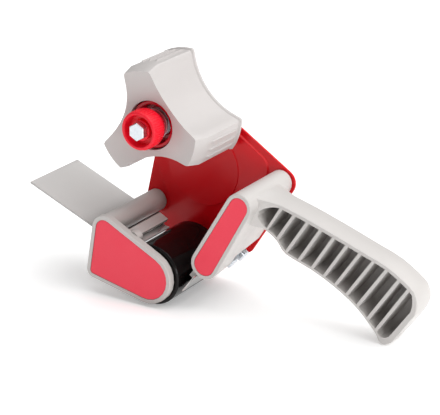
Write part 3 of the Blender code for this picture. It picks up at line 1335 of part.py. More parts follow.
def build_frame_screws(parent, materials):
    """Screws that hold the handle and the front housing to the side frame."""
    places = {
        "frame_screw_upper": CHEEK_TOP,
        "frame_screw_lower": LOWER_POST,
        "frame_screw_front": FRONT_TUBE_CENTRE,
    }
    head_y = FRAME_OUTER_Y + FIT
    for name, centre in places.items():
        profile = [
            (0.0, TUBE_END_Y - FRAME_SCREW_GRIP),
            (FRAME_SCREW_RADIUS, TUBE_END_Y - FRAME_SCREW_GRIP),
            (FRAME_SCREW_RADIUS, head_y),
            (FRAME_SCREW_HEAD_RADIUS, head_y),
            (FRAME_SCREW_HEAD_RADIUS, head_y + FRAME_SCREW_HEAD / 3),
            (FRAME_SCREW_HEAD_RADIUS / 2, head_y + FRAME_SCREW_HEAD),
            (0.0, head_y + FRAME_SCREW_HEAD),
        ]
        turned(name, profile, parent, materials["zinc_steel"], *centre,
               steps=SMALL_ROUND_STEPS)


def stand_on_floor(tool):
    """Shift the tool so that it stands on Z = 0, centred on X = Y = 0."""
    bpy.context.view_layer.update()
    graph = bpy.context.evaluated_depsgraph_get()
    low = Vector((math.inf, math.inf, math.inf))
    high = -low
    for item in bpy.context.scene.objects:
        if item.type == "EMPTY" or item.hide_render:
            continue
        evaluated = item.evaluated_get(graph)
        mesh = evaluated.to_mesh()
        for vertex in mesh.vertices:
            point = evaluated.matrix_world @ vertex.co
            low = Vector(map(min, low, point))
            high = Vector(map(max, high, point))
        evaluated.to_mesh_clear()
    tool.location = (-(low.x + high.x) / 2, -(low.y + high.y) / 2, -low.z)
    size = high - low
    print(f"size {size.x:.4f} {size.y:.4f} {size.z:.4f}")
    print(f"shift {tool.location.x:.5f} {tool.location.y:.5f} {tool.location.z:.5f}")


def build():
    """Build the whole dispenser."""
    clear_scene()
    materials = make_materials()
    tool = make_pivot("dispenser", None, 0.0, 0.0)
    hub_pivot = make_pivot("hub_axis", tool, 0.0, 0.0)
    tension_pivot = make_pivot("tension_axis", tool, 0.0, 0.0)
    knob_pivot = make_pivot("knob_axis", tension_pivot, 0.0, 0.0)
    roller_pivot = make_pivot("roller_axis", tool, *ROLLER_CENTRE)
    wiper_pivot = make_pivot("wiper_axis", tool, *FRONT_TUBE_CENTRE)
    stop_pivot = make_pivot("stop_axis", tool, *PIN_CENTRE)
    build_side_frame(tool, materials)
    build_hub(hub_pivot, materials)
    build_hub_bushes(hub_pivot, materials)
    build_spindle(tool, materials)
    build_brake_cup(tool, materials)
    build_brake_spring(tool, materials)
    build_washer(tension_pivot, materials)
    build_knob(knob_pivot, materials)
    build_bolt(knob_pivot, materials)
    build_roller(roller_pivot, materials)
    build_axle(tool, materials)
    build_front_housing(tool, materials)
    build_return_stop(stop_pivot, tool, materials)
    build_wiper(wiper_pivot, materials)
    handle = build_handle(tool, materials)
    blade = build_blade(tool, materials)
    build_blade_screws(handle, blade, tool, materials)
    build_frame_screws(tool, materials)
    stand_on_floor(tool)


build()
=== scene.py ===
"""Looks of a hand-held packing tape dispenser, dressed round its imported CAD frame.

Lengths are in metres in the CAD model's frame. Places are given from the point where the
hub's axis meets its near end: X towards the grip, Y towards the side frame, Z up.
"""
import json
import logging
import math
from collections.abc import Mapping, Sequence
from dataclasses import dataclass
from enum import Enum

import bmesh
import bpy
from mathutils import Matrix, Vector

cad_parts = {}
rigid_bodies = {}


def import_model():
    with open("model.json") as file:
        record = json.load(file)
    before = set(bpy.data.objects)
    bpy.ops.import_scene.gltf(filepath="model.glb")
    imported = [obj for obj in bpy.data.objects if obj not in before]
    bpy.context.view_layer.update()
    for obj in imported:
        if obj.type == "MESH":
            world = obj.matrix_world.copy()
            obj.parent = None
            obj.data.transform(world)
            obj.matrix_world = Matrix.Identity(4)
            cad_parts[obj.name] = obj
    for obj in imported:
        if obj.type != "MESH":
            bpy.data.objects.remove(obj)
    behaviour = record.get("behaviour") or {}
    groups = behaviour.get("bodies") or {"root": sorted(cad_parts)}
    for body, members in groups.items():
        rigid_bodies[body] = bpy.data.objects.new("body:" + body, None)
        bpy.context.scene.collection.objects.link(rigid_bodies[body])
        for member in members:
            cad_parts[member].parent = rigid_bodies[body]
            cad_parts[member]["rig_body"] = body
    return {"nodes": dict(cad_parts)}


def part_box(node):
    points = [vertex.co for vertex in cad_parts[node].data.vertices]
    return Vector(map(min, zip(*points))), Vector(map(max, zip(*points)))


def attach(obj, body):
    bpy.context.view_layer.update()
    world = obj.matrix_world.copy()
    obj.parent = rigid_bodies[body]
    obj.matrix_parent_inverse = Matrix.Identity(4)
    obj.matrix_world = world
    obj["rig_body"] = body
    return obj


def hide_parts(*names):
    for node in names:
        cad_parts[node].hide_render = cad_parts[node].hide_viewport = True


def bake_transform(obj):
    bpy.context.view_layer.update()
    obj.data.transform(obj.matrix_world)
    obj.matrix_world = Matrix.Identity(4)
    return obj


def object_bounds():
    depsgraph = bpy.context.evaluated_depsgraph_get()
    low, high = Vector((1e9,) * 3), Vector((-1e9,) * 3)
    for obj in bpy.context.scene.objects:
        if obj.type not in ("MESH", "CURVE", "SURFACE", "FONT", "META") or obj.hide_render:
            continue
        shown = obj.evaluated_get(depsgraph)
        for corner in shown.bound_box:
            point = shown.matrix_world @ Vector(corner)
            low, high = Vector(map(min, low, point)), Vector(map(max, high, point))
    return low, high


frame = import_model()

log = logging.getLogger("tape_dispenser")

MM = 0.001
CAD_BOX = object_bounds()

Point = Sequence[float]
Pair = tuple[float, float]
Triple = tuple[float, float, float]

# The sRGB curve: the end and slope of its straight part, the rest's offset and power.
SRGB_KNEE, SRGB_SLOPE, SRGB_OFFSET, SRGB_POWER = 0.04045, 12.92, 0.055, 2.4
# Numbers of the colour sockets on a Mix node: two inputs and the result.
MIX_ONE, MIX_OTHER, MIX_RESULT = 6, 7, 2
# The part of its range that a noise mostly fills.
NOISE_LOW, NOISE_HIGH = 0.3, 0.7
# How far painted shade reaches from a wall over the surface beside it, and the rays that find
# the wall.
PAINTED_SHADE_REACH = 14 * MM
PAINTED_SHADE_RAYS = 8

# Points of a copied form that are closer than this are one point.
WELD = 0.005 * MM
# Faces that turn by less than this are one face, and edges past the next are rounded.
FLAT_TURN = math.radians(0.5)
ROUNDED_TURN = math.radians(30)
# Edges that turn by more than this stay sharp under smooth shading.
SHARP_TURN = math.radians(32)


def hub_origin() -> Vector:
    """Find the point on the hub's axis at its near end.

    Returns:
        That point in the CAD frame.
    """
    low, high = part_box("hub_bush_near")
    near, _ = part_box("hub")
    return Vector(((low.x + high.x) / 2, near.y, (low.z + high.z) / 2))


ORIGIN = hub_origin()


def at(x: float, y: float, z: float) -> Vector:
    """Turn a place measured from the hub's near end into the CAD frame."""
    return ORIGIN + Vector((x, y, z))


def add_node(tree: bpy.types.NodeTree, kind: str, inputs: Mapping | None = None,
             **settings: object) -> bpy.types.Node:
    """Add one node with its settings and what feeds it.

    Args:
        tree: Node tree that takes the node.
        kind: Blender's name for the node type.
        inputs: Value, or output socket to link, by the input's name or number.
        settings: Node properties by name.

    Returns:
        The new node.
    """
    node = tree.nodes.new(kind)
    for name, value in settings.items():
        setattr(node, name, value)
    for key, value in (inputs or {}).items():
        if isinstance(value, bpy.types.NodeSocket):
            tree.links.new(value, node.inputs[key])
        else:
            node.inputs[key].default_value = value
    return node


def linear(hex_colour: str) -> tuple[float, float, float, float]:
    """Turn an sRGB hex colour into linear red, green and blue with full alpha.

    Args:
        hex_colour: Colour such as "#D9D5D2".

    Returns:
        Linear channels and an alpha of one.
    """
    channels = []
    for start in (1, 3, 5):
        value = int(hex_colour[start:start + 2], 16) / 255
        low = value / SRGB_SLOPE
        high = ((value + SRGB_OFFSET) / (1 + SRGB_OFFSET)) ** SRGB_POWER
        channels.append(low if value <= SRGB_KNEE else high)
    return (*channels, 1.0)


class Surface:
    """A new material with its shader and its object coordinates at hand."""

    def __init__(self, name: str, **sockets: object) -> None:
        """Make the material.

        Args:
            name: Name of the material.
            sockets: Constants of the shader, by socket name with _ for a space.
        """
        self.material = bpy.data.materials.new(name)
        self.material.use_nodes = True
        self.tree = self.material.node_tree
        self.shader = self.tree.nodes["Principled BSDF"]
        for key, value in sockets.items():
            self.shader.inputs[key.replace("_", " ")].default_value = value
        self.place = add_node(self.tree, "ShaderNodeTexCoord").outputs["Object"]

    def noise(self, size: float, detail: float = 2.0,
              stretch: Point = (1.0, 1.0, 1.0)) -> bpy.types.NodeSocket:
        """Lay a noise of a real feature size over the surface.

        Args:
            size: Width of a feature in metres.
            detail: Octaves of finer detail.
            stretch: Factor on the pattern's frequency along X, Y and Z.

        Returns:
            The noise's value socket.
        """
        turned = add_node(self.tree, "ShaderNodeMapping",
                          {"Vector": self.place, "Scale": tuple(stretch)})
        noise = add_node(self.tree, "ShaderNodeTexNoise",
                         {"Vector": turned.outputs[0], "Scale": 1 / size, "Detail": detail})
        return noise.outputs[0]

    def colour(self, factor: bpy.types.NodeSocket, one: str, other: str,
               painted_shade: str | None = None) -> None:
        """Colour the surface between two hex colours by a factor, with shade painted into
        pockets and corners if asked.

        Args:
            factor: Share of the other colour.
            one: Main colour.
            other: Colour of the clouds in it.
            painted_shade: Colour of the shade painted deep in pockets and corners, if any.
        """
        mix = add_node(self.tree, "ShaderNodeMix",
                       {"Factor": factor, MIX_ONE: linear(one), MIX_OTHER: linear(other)},
                       data_type="RGBA")
        # Painted shade: ambient occlusion turns the colour to the shade colour near walls.
        if painted_shade is not None:
            openness = add_node(self.tree, "ShaderNodeAmbientOcclusion",
                                {"Distance": PAINTED_SHADE_REACH}, samples=PAINTED_SHADE_RAYS)
            mix = add_node(self.tree, "ShaderNodeMix",
                           {"Factor": openness.outputs["AO"], MIX_ONE: linear(painted_shade),
                            MIX_OTHER: mix.outputs[MIX_RESULT]}, data_type="RGBA")
        self.tree.links.new(mix.outputs[MIX_RESULT], self.shader.inputs["Base Color"])

    def roughness(self, factor: bpy.types.NodeSocket, span: Pair) -> None:
        """Spread the roughness over a span by a noise.

        Args:
            factor: The noise.
            span: Roughness where the noise is low and where it is high.
        """
        spread = add_node(self.tree, "ShaderNodeMapRange",
                          {"Value": factor, "From Min": NOISE_LOW, "From Max": NOISE_HIGH,
                           "To Min": span[0], "To Max": span[1]})
        self.tree.links.new(spread.outputs[0], self.shader.inputs["Roughness"])

    def relief(self, *layers: tuple[bpy.types.NodeSocket, float]) -> None:
        """Raise the surface by layers of bumps.

        Args:
            layers: A height socket and a height in metres for each layer.
        """
        normal = None
        for height, depth in layers:
            inputs = {"Height": height, "Distance": depth, "Strength": 1.0}
            if normal is not None:
                inputs["Normal"] = normal
            normal = add_node(self.tree, "ShaderNodeBump", inputs).outputs[0]
        self.tree.links.new(normal, self.shader.inputs["Normal"])


@dataclass(frozen=True)
class MouldedPlastic:
    """Injection-moulded ABS: satin, even colour, faint spark-eroded grain.

    Its soft sheen comes from the mould's polish and varies in patches, its walls sink a
    little between ribs, and shade can be painted into its pockets and corners as a darker
    colour.
    """

    name: str
    colour: str
    cloud: str
    # Colour of the shade painted into pockets and corners, or none for no painted shade.
    painted_shade: str | None = None
    roughness: float = 0.42
    specular: float = 0.5
    # The real grain is near 0.1 mm; it is drawn at 0.7 mm so that it shows.
    grain: float = 0.7 * MM
    grain_height: float = 0.012 * MM
    flow: float = 22 * MM
    ior: float = 1.53
    smoother: float = 0.05
    rougher: float = 0.06
    grains_in_patch: float = 6.0
    sink_in_grains: float = 3.0

    def make(self) -> bpy.types.Material:
        """Make the material.

        Returns:
            The plastic of this colour and polish.
        """
        surface = Surface(self.name, IOR=self.ior, Specular_IOR_Level=self.specular)
        surface.colour(surface.noise(self.flow), self.colour, self.cloud, self.painted_shade)
        surface.roughness(surface.noise(self.grain * self.grains_in_patch),
                          (self.roughness - self.smoother, self.roughness + self.rougher))
        surface.relief(
            (surface.noise(self.grain), self.grain_height),
            (surface.noise(self.flow / 2), self.grain_height * self.sink_in_grains))
        return surface.material


@dataclass(frozen=True)
class StoveEnamel:
    """Red stove enamel on pressed steel: a wet gloss with a faint orange peel."""

    name: str = "red_stove_enamel"
    colour: str = "#DE0D1A"
    deep: str = "#D20814"
    cloud: float = 40 * MM
    ior: float = 1.5
    specular: float = 0.25
    roughness: Pair = (0.20, 0.27)
    peel: float = 3.2 * MM
    peel_height: float = 0.006 * MM
    # Real specks of dust are near 0.2 mm; they are drawn at 0.9 mm so that they show.
    dust: float = 0.9 * MM
    dust_height: float = 0.001 * MM

    def make(self) -> bpy.types.Material:
        """Make the material.

        Returns:
            The red enamel.
        """
        surface = Surface(self.name, IOR=self.ior, Specular_IOR_Level=self.specular)
        surface.colour(surface.noise(self.cloud), self.colour, self.deep)
        surface.roughness(surface.noise(self.dust), self.roughness)
        surface.relief((surface.noise(self.peel), self.peel_height),
                       (surface.noise(self.dust), self.dust_height))
        return surface.material


@dataclass(frozen=True)
class VinylFilm:
    """Plain vinyl film laid in a recess: even red, soft sheen, tiny ripples."""

    name: str = "red_vinyl_film"
    colour: str = "#F53F56"
    cloud: str = "#EF374C"
    ior: float = 1.47
    roughness: Pair = (0.46, 0.56)
    ripple: float = 9 * MM
    ripple_height: float = 0.02 * MM
    # Real flecks are near 0.1 mm; they are drawn at 0.8 mm so that they show.
    fleck: float = 0.8 * MM
    fleck_detail: float = 4.0
    fleck_height: float = 0.0025 * MM

    def make(self) -> bpy.types.Material:
        """Make the material.

        Returns:
            The red film.
        """
        surface = Surface(self.name, IOR=self.ior)
        surface.colour(surface.noise(self.fleck, self.fleck_detail), self.colour, self.cloud)
        surface.roughness(surface.noise(self.ripple), self.roughness)
        surface.relief((surface.noise(self.ripple), self.ripple_height),
                       (surface.noise(self.fleck), self.fleck_height))
        return surface.material


@dataclass(frozen=True)
class BlackSleeve:
    """Ground black rubber sleeve: near mirror gloss with faint rings round it."""

    name: str = "black_rubber_sleeve"
    colour: str = "#0A0808"
    worn: str = "#161313"
    patch: float = 7 * MM
    ior: float = 1.52
    specular: float = 0.18
    roughness: Pair = (0.08, 0.15)
    # Real grinding rings are near 0.1 mm wide; they are drawn at 0.8 mm so that they show.
    ring: float = 0.8 * MM
    ring_detail: float = 3.0
    ring_height: float = 0.003 * MM
    round_it: Point = (0.03, 1.0, 0.03)

    def make(self) -> bpy.types.Material:
        """Make the material.

        Returns:
            The black rubber.
        """
        surface = Surface(self.name, IOR=self.ior, Specular_IOR_Level=self.specular)
        rings = surface.noise(self.ring, self.ring_detail, self.round_it)
        surface.colour(surface.noise(self.patch), self.colour, self.worn)
        surface.roughness(rings, self.roughness)
        surface.relief((rings, self.ring_height))
        return surface.material


@dataclass(frozen=True)
class WorkedMetal:
    """Plated, ground or sintered metal.

    One fine pattern carries its colour, gloss and relief, which gives the eye the mottle of
    zinc plate, the grinding lines of a blade or the pores of a bush. The pattern is always
    finer in life, and is drawn as coarse as it needs to be to show.
    """

    name: str
    colour: str
    pattern: str
    roughness: Pair
    size: float
    height: float
    detail: float = 4.0
    stretch: Point = (1.0, 1.0, 1.0)

    def make(self) -> bpy.types.Material:
        """Make the material.

        Returns:
            The metal of this colour and pattern.
        """
        surface = Surface(self.name, Metallic=1.0)
        pattern = surface.noise(self.size, self.detail, self.stretch)
        surface.colour(pattern, self.colour, self.pattern)
        surface.roughness(pattern, self.roughness)
        surface.relief((pattern, self.height))
        return surface.material


@dataclass(frozen=True)
class StudioPaper:
    """Matt white paper on a light table: it glows a little, so shadows stay close."""

    name: str = "studio_paper"
    colour: str = "#F7F7F7"
    shade: str = "#F2F2F2"
    roughness: float = 0.9
    # The real tooth is near 0.2 mm; it is drawn at 2 mm, which stays plain from afar.
    tooth: float = 2 * MM
    glow: float = 0.30

    def make(self) -> bpy.types.Material:
        """Make the material.

        Returns:
            The glowing paper.
        """
        surface = Surface(self.name, Roughness=self.roughness, Emission_Strength=self.glow,
                          Emission_Color=linear(self.colour))
        surface.colour(surface.noise(self.tooth), self.colour, self.shade)
        return surface.material


class Finish(Enum):
    """Every finish on the dispenser and under it."""

    ENAMEL = StoveEnamel()
    GREY_ABS = MouldedPlastic("light_grey_abs", "#C8C4C1", "#C4C0BD")
    # The same grey, with shade painted dark grey deep between the front moulding's walls.
    FRONT_ABS = MouldedPlastic("front_grey_abs", "#C8C4C1", "#C4C0BD", "#7A726C")
    HUB_ABS = MouldedPlastic("hub_grey_abs", "#C6C1BF", "#C2BDBB")
    # Rolled sheet is flatter than a moulding; its grain, too, is drawn coarser than real.
    # Near-black shade is painted where walls close over the sheet, as on the return stop's
    # ledge under the guide bar.
    WIPER_SHEET = MouldedPlastic("grey_sheet_plastic", "#BFBCBA", "#BBB8B6", "#2A2624",
                                 0.36, grain=1.4 * MM, grain_height=0.006 * MM)
    # Coloured right through; the cup's mould has the higher polish.
    KNOB_ABS = MouldedPlastic("bright_red_abs", "#F41630", "#EE102A", roughness=0.36,
                              specular=0.3)
    CUP_ABS = MouldedPlastic("dark_red_abs", "#CC0826", "#C40420", roughness=0.26,
                             specular=0.35)
    CORE_ABS = MouldedPlastic("black_abs", "#0C0B0B", "#090808", roughness=0.40,
                              specular=0.25)
    FILM = VinylFilm()
    SLEEVE = BlackSleeve()
    # Pale, bright and a little blue. Mottling near 0.3 mm is drawn at 1.6 mm.
    ZINC = WorkedMetal("bright_zinc_plate", "#E6EAEE", "#CDD5DC", (0.32, 0.44), 1.6 * MM,
                       0.006 * MM, detail=3.0)
    # Bright strip, its grinding lines along the blade. Lines near 0.05 mm: drawn at 0.5 mm.
    STEEL = WorkedMetal("ground_strip_steel", "#C9C8C6", "#A9A7A4", (0.05, 0.12), 0.5 * MM,
                        0.001 * MM, stretch=(1.0, 0.04, 1.0))
    # Dull gold with open pores. Pores near 0.05 mm are drawn at 0.4 mm.
    BRONZE = WorkedMetal("sintered_bronze", "#B08A4E", "#6E5430", (0.35, 0.55), 0.4 * MM,
                         0.02 * MM)
    PAPER = StudioPaper()

    @property
    def material(self) -> bpy.types.Material:
        """The finish's material, made when it is first asked for."""
        return bpy.data.materials.get(self.value.name) or self.value.make()


def skin(name: str, rings: Sequence[Sequence[Vector]],
         closed: bool = False) -> bpy.types.Mesh:
    """Skin rings of equally many points; a ring of one point is a pole.

    Args:
        name: Name of the mesh.
        rings: Rings of points in order along the form.
        closed: Whether the last ring joins the first, as on a tube wall.

    Returns:
        A closed mesh whose faces point outwards.
    """
    form = bmesh.new()
    loops = [[form.verts.new(point) for point in ring] for ring in rings]
    pairs = list(zip(loops, loops[1:]))
    if closed:
        pairs.append((loops[-1], loops[0]))
    for low, high in pairs:
        count = max(len(low), len(high))
        for index in range(count):
            following = (index + 1) % count
            corners = [low[index % len(low)], low[following % len(low)],
                       high[following % len(high)], high[index % len(high)]]
            form.faces.new(list(dict.fromkeys(corners)))
    if not closed:
        for loop in (loops[0], loops[-1]):
            if len(loop) > 1:
                form.faces.new(loop)
    bmesh.ops.recalc_face_normals(form, faces=form.faces)
    mesh = bpy.data.meshes.new(name)
    form.to_mesh(mesh)
    form.free()
    return mesh


def put(name: str, data: bpy.types.ID) -> bpy.types.Object:
    """Put a mesh, a light or a camera in the scene as a new object.

    Args:
        name: Name of the object.
        data: What it holds.

    Returns:
        The new object, at the origin.
    """
    thing = bpy.data.objects.new(name, data)
    bpy.context.scene.collection.objects.link(thing)
    return thing


def show(name: str, mesh: bpy.types.Mesh, finish: Finish | None) -> bpy.types.Object:
    """Put a mesh in the scene under a finish, shaded smooth but for sharp edges.

    Args:
        name: Name of the piece.
        mesh: Its mesh.
        finish: Its finish, or none for a form that isn't shown as it is.

    Returns:
        The new piece.
    """
    piece = put(name, mesh)
    mesh.shade_smooth()
    mesh.set_sharp_from_angle(angle=SHARP_TURN)
    if finish is not None:
        mesh.materials.clear()
        mesh.materials.append(finish.material)
    return piece


def settle(piece: bpy.types.Object) -> bpy.types.Object:
    """Turn a piece with live modifiers into a plain mesh.

    Args:
        piece: Object whose modifiers are ready.

    Returns:
        The same object, with the result as its mesh and no modifiers.
    """
    bpy.context.view_layer.update()
    graph = bpy.context.evaluated_depsgraph_get()
    result = bpy.data.meshes.new_from_object(piece.evaluated_get(graph))
    piece.modifiers.clear()
    result.name = piece.name
    piece.data = result
    return piece


def turned(name: str, profile: Sequence[Pair], steps: int,
           centre: Vector) -> bpy.types.Mesh:
    """Turn a profile of (radius, y) about an axis along Y.

    Args:
        name: Name of the mesh.
        profile: Points from one end round to the other; radius zero is a pole.
        steps: Facets round the axis.
        centre: Point on the axis from which y is measured.

    Returns:
        The turned mesh, a ring if the profile never meets the axis.
    """
    rings = []
    for radius, y in profile:
        middle = centre + Vector((0.0, y, 0.0))
        if radius == 0.0:
            rings.append([middle])
            continue
        turns = [math.tau * step / steps for step in range(steps)]
        rings.append([middle + Vector((radius * math.cos(turn), 0.0,
                                       radius * math.sin(turn))) for turn in turns])
    return skin(name, rings, closed=profile[0][0] > 0.0)


def rounded_copy(node: str, radius: float, finish: Finish,
                 steps: int = 2) -> bpy.types.Object:
    """Copy a CAD form and round its edges.

    Args:
        node: CAD node to copy.
        radius: Width of the rounding.
        finish: Finish of the copy.
        steps: Segments across a rounded edge.

    Returns:
        The copy as a plain mesh.
    """
    form = bmesh.new()
    form.from_mesh(frame["nodes"][node].data)
    bmesh.ops.remove_doubles(form, verts=form.verts, dist=WELD)
    bmesh.ops.dissolve_limit(form, angle_limit=FLAT_TURN, verts=form.verts,
                             edges=form.edges)
    mesh = bpy.data.meshes.new(f"{node}_look")
    form.to_mesh(mesh)
    form.free()
    piece = show(f"{node}_look", mesh, finish)
    rounding = piece.modifiers.new("rounding", "BEVEL")
    rounding.width = radius
    rounding.segments = steps
    rounding.limit_method = "ANGLE"
    rounding.angle_limit = ROUNDED_TURN
    rounding.harden_normals = True
    return settle(piece)


def stand_for(piece: bpy.types.Object, *nodes: str) -> bpy.types.Object:
    """Let a piece ride with and stand for CAD nodes of one body.

    Args:
        piece: Finished piece at the origin.
        nodes: CAD nodes that it stands for, the first of which gives its body.

    Returns:
        The piece.
    """
    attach(piece, frame["nodes"][nodes[0]]["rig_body"])
    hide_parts(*nodes)
    return piece


def dress(node: str, finish: Finish) -> None:
    """Give a CAD node that keeps its own mesh a finish.

    Args:
        node: The CAD node.
        finish: Its finish.
    """
    mesh = frame["nodes"][node].data
    mesh.materials.clear()
    mesh.materials.append(finish.material)


class NodeTool:
    """A geometry node tree with named inputs, ready to run on a piece."""

    def __init__(self, name: str, inputs: Mapping[str, str]) -> None:
        """Start the tree.

        Args:
            name: Name of the tree.
            inputs: Socket type by input name, after the geometry that comes first.
        """
        self.tree = bpy.data.node_groups.new(name, "GeometryNodeTree")
        face = self.tree.interface
        face.new_socket("Geometry", in_out="INPUT", socket_type="NodeSocketGeometry")
        face.new_socket("Geometry", in_out="OUTPUT", socket_type="NodeSocketGeometry")
        for label, kind in inputs.items():
            face.new_socket(label, in_out="INPUT", socket_type=kind)
        face.new_socket("Material", in_out="INPUT", socket_type="NodeSocketMaterial")
        self.entry = add_node(self.tree, "NodeGroupInput").outputs
        self.exit = add_node(self.tree, "NodeGroupOutput")

    def finish(self, geometry: bpy.types.NodeSocket) -> None:
        """End the tree with realised, smooth geometry in its material.

        Args:
            geometry: What the tree has made.
        """
        real = add_node(self.tree, "GeometryNodeRealizeInstances", {0: geometry})
        smooth = add_node(self.tree, "GeometryNodeSetShadeSmooth",
                          {"Geometry": real.outputs[0]})
        painted = add_node(
            self.tree, "GeometryNodeSetMaterial",
            {"Geometry": smooth.outputs[0], "Material": self.entry["Material"]})
        self.tree.links.new(painted.outputs[0], self.exit.inputs[0])

    def run(self, piece: bpy.types.Object, values: Mapping[str, object],
            finish: Finish) -> bpy.types.Object:
        """Run the tree on a piece and keep the result as its plain mesh.

        Args:
            piece: Object whose mesh is the tree's geometry.
            values: Input values by input name.
            finish: Finish that Set Material lays on.

        Returns:
            The piece with the result.
        """
        modifier = piece.modifiers.new(self.tree.name, "NODES")
        modifier.node_group = self.tree
        for item in self.tree.interface.items_tree:
            if item.in_out == "INPUT" and item.name in values:
                modifier[item.identifier] = values[item.name]
            elif item.in_out == "INPUT" and item.name == "Material":
                modifier[item.identifier] = finish.material
        settle(piece)
        piece.data.set_sharp_from_angle(angle=SHARP_TURN)
        return piece


def wire_tool() -> NodeTool:
    """Make the tree that runs a round wire along a path of edges.

    Returns:
        The tree, with the wire's radius and sides as inputs.
    """
    tool = NodeTool("round_wire", {"Radius": "NodeSocketFloat", "Sides": "NodeSocketInt"})
    path = add_node(tool.tree, "GeometryNodeMeshToCurve", {"Mesh": tool.entry["Geometry"]})
    rim = add_node(tool.tree, "GeometryNodeCurvePrimitiveCircle",
                   {"Resolution": tool.entry["Sides"], "Radius": tool.entry["Radius"]})
    wire = add_node(tool.tree, "GeometryNodeCurveToMesh",
                    {"Curve": path.outputs[0], "Profile Curve": rim.outputs[0],
                     "Fill Caps": True})
    tool.finish(wire.outputs[0])
    return tool


def ring_tool() -> NodeTool:
    """Make the tree that sets a form round a Y axis, many times over.

    Returns:
        The tree, with the form, its count, the ring's radius and its centre as inputs.
    """
    tool = NodeTool("set_round_axis", {
        "Form": "NodeSocketObject", "Count": "NodeSocketInt", "Radius": "NodeSocketFloat",
        "Centre": "NodeSocketVector"})
    tree = tool.tree
    ring = add_node(tree, "GeometryNodeMeshCircle",
                    {"Vertices": tool.entry["Count"], "Radius": tool.entry["Radius"]})
    upright = add_node(tree, "GeometryNodeTransform",
                       {"Geometry": ring.outputs[0], "Translation": tool.entry["Centre"],
                        "Rotation": (math.pi / 2, 0.0, 0.0)})
    spot = add_node(tree, "GeometryNodeInputPosition")
    outward = add_node(tree, "ShaderNodeVectorMath",
                       {0: spot.outputs[0], 1: tool.entry["Centre"]}, operation="SUBTRACT")
    turn = add_node(tree, "FunctionNodeAlignRotationToVector",
                    {"Vector": outward.outputs[0]}, axis="X", pivot_axis="Y")
    form = add_node(tree, "GeometryNodeObjectInfo", {"Object": tool.entry["Form"]})
    spread = add_node(tree, "GeometryNodeInstanceOnPoints",
                      {"Points": upright.outputs[0], "Instance": form.outputs["Geometry"],
                       "Rotation": turn.outputs[0]})
    both = add_node(tree, "GeometryNodeJoinGeometry", {0: tool.entry["Geometry"]})
    tree.links.new(spread.outputs[0], both.inputs[0])
    tool.finish(both.outputs[0])
    return tool


def spots_tool() -> NodeTool:
    """Make the tree that sets one form, such as a screw, on every given point.

    Returns:
        The tree, with the form as its input.
    """
    tool = NodeTool("set_on_spots", {"Form": "NodeSocketObject"})
    tree = tool.tree
    form = add_node(tree, "GeometryNodeObjectInfo", {"Object": tool.entry["Form"]})
    spread = add_node(tree, "GeometryNodeInstanceOnPoints",
                      {"Points": tool.entry["Geometry"],
                       "Instance": form.outputs["Geometry"]})
    tool.finish(spread.outputs[0])
    return tool


def path_piece(name: str, points: Sequence[Vector]) -> bpy.types.Object:
    """Put a path of edges through points in the scene.

    Args:
        name: Name of the piece.
        points: Points in order along the path.

    Returns:
        The new piece.
    """
    mesh = bpy.data.meshes.new(name)
    mesh.from_pydata(points, [(spot, spot + 1) for spot in range(len(points) - 1)], [])
    return put(name, mesh)


def restyled(node: str, radius: float, finish: Finish, steps: int = 2) -> bpy.types.Object:
    """Put a copy of a CAD node with rounded edges and a finish in its place."""
    return stand_for(rounded_copy(node, radius, finish, steps), node)


def laid_film(node: str, edge: float) -> bpy.types.Object:
    """Put a film with a rounded edge in a panel's place, pressed out to its recess.

    Args:
        node: CAD node of the panel.
        edge: Width of the rounding, and how far the film is pressed out.

    Returns:
        The film's piece.
    """
    piece = rounded_copy(node, edge, Finish.FILM)
    for corner in piece.data.vertices:
        corner.co += corner.normal * edge
    return stand_for(piece, node)


def carve(piece: bpy.types.Object, form: bpy.types.Mesh) -> None:
    """Cut a form out of a piece.

    Args:
        piece: Closed piece at the origin.
        form: Closed mesh to take away, which is deleted.
    """
    tool = show("carving_tool", form, None)
    cut = piece.modifiers.new("cut", "BOOLEAN")
    cut.object = tool
    cut.solver = "EXACT"
    settle(piece)
    bpy.data.objects.remove(tool)


def divide(piece: bpy.types.Object, stations: Sequence[Vector], along: Vector) -> None:
    """Divide a piece's faces where planes square to a direction cross them.

    Args:
        piece: Piece with a plain mesh.
        stations: A point on each plane.
        along: Direction that the planes are square to.
    """
    form = bmesh.new()
    form.from_mesh(piece.data)
    for station in stations:
        faces = form.verts[:] + form.edges[:] + form.faces[:]
        bmesh.ops.bisect_plane(form, geom=faces, plane_co=station, plane_no=along)
    form.to_mesh(piece.data)
    form.free()


def wound(node: str, points: Sequence[Vector], radius: float, sides: int) -> bpy.types.Object:
    """Put a round wire along a path in a CAD spring's place.

    Args:
        node: CAD node of the spring.
        points: Points of the wire's centre line.
        radius: Radius of the wire.
        sides: Facets round the wire.

    Returns:
        The spring's piece.
    """
    spring = path_piece(f"{node}_look", points)
    wire_tool().run(spring, {"Radius": radius, "Sides": sides}, Finish.ZINC)
    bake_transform(spring)
    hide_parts(node)
    return spring


def quarter_round(radius: float, y: float, round_: float, steps: int = 4) -> list[Pair]:
    """Draw a quarter round that turns from a profile's side to its near face.

    Args:
        radius: Distance of the round's centre from the axis.
        y: Place of the round's centre along the axis.
        round_: Radius of the round itself.
        steps: Straight runs along it.

    Returns:
        Its points of (radius, y), both ends included.
    """
    turns = [math.pi / 2 * step / steps for step in range(steps + 1)]
    return [(radius + round_ * math.cos(turn), y - round_ * math.sin(turn))
            for turn in turns]


@dataclass
class SideFrame:
    """Pressed steel side frame with its enamel."""

    edge: float = 0.25 * MM

    def build(self) -> list[bpy.types.Object]:
        """Round the pressed frame's cut edges."""
        return [restyled("side_frame", self.edge, Finish.ENAMEL)]


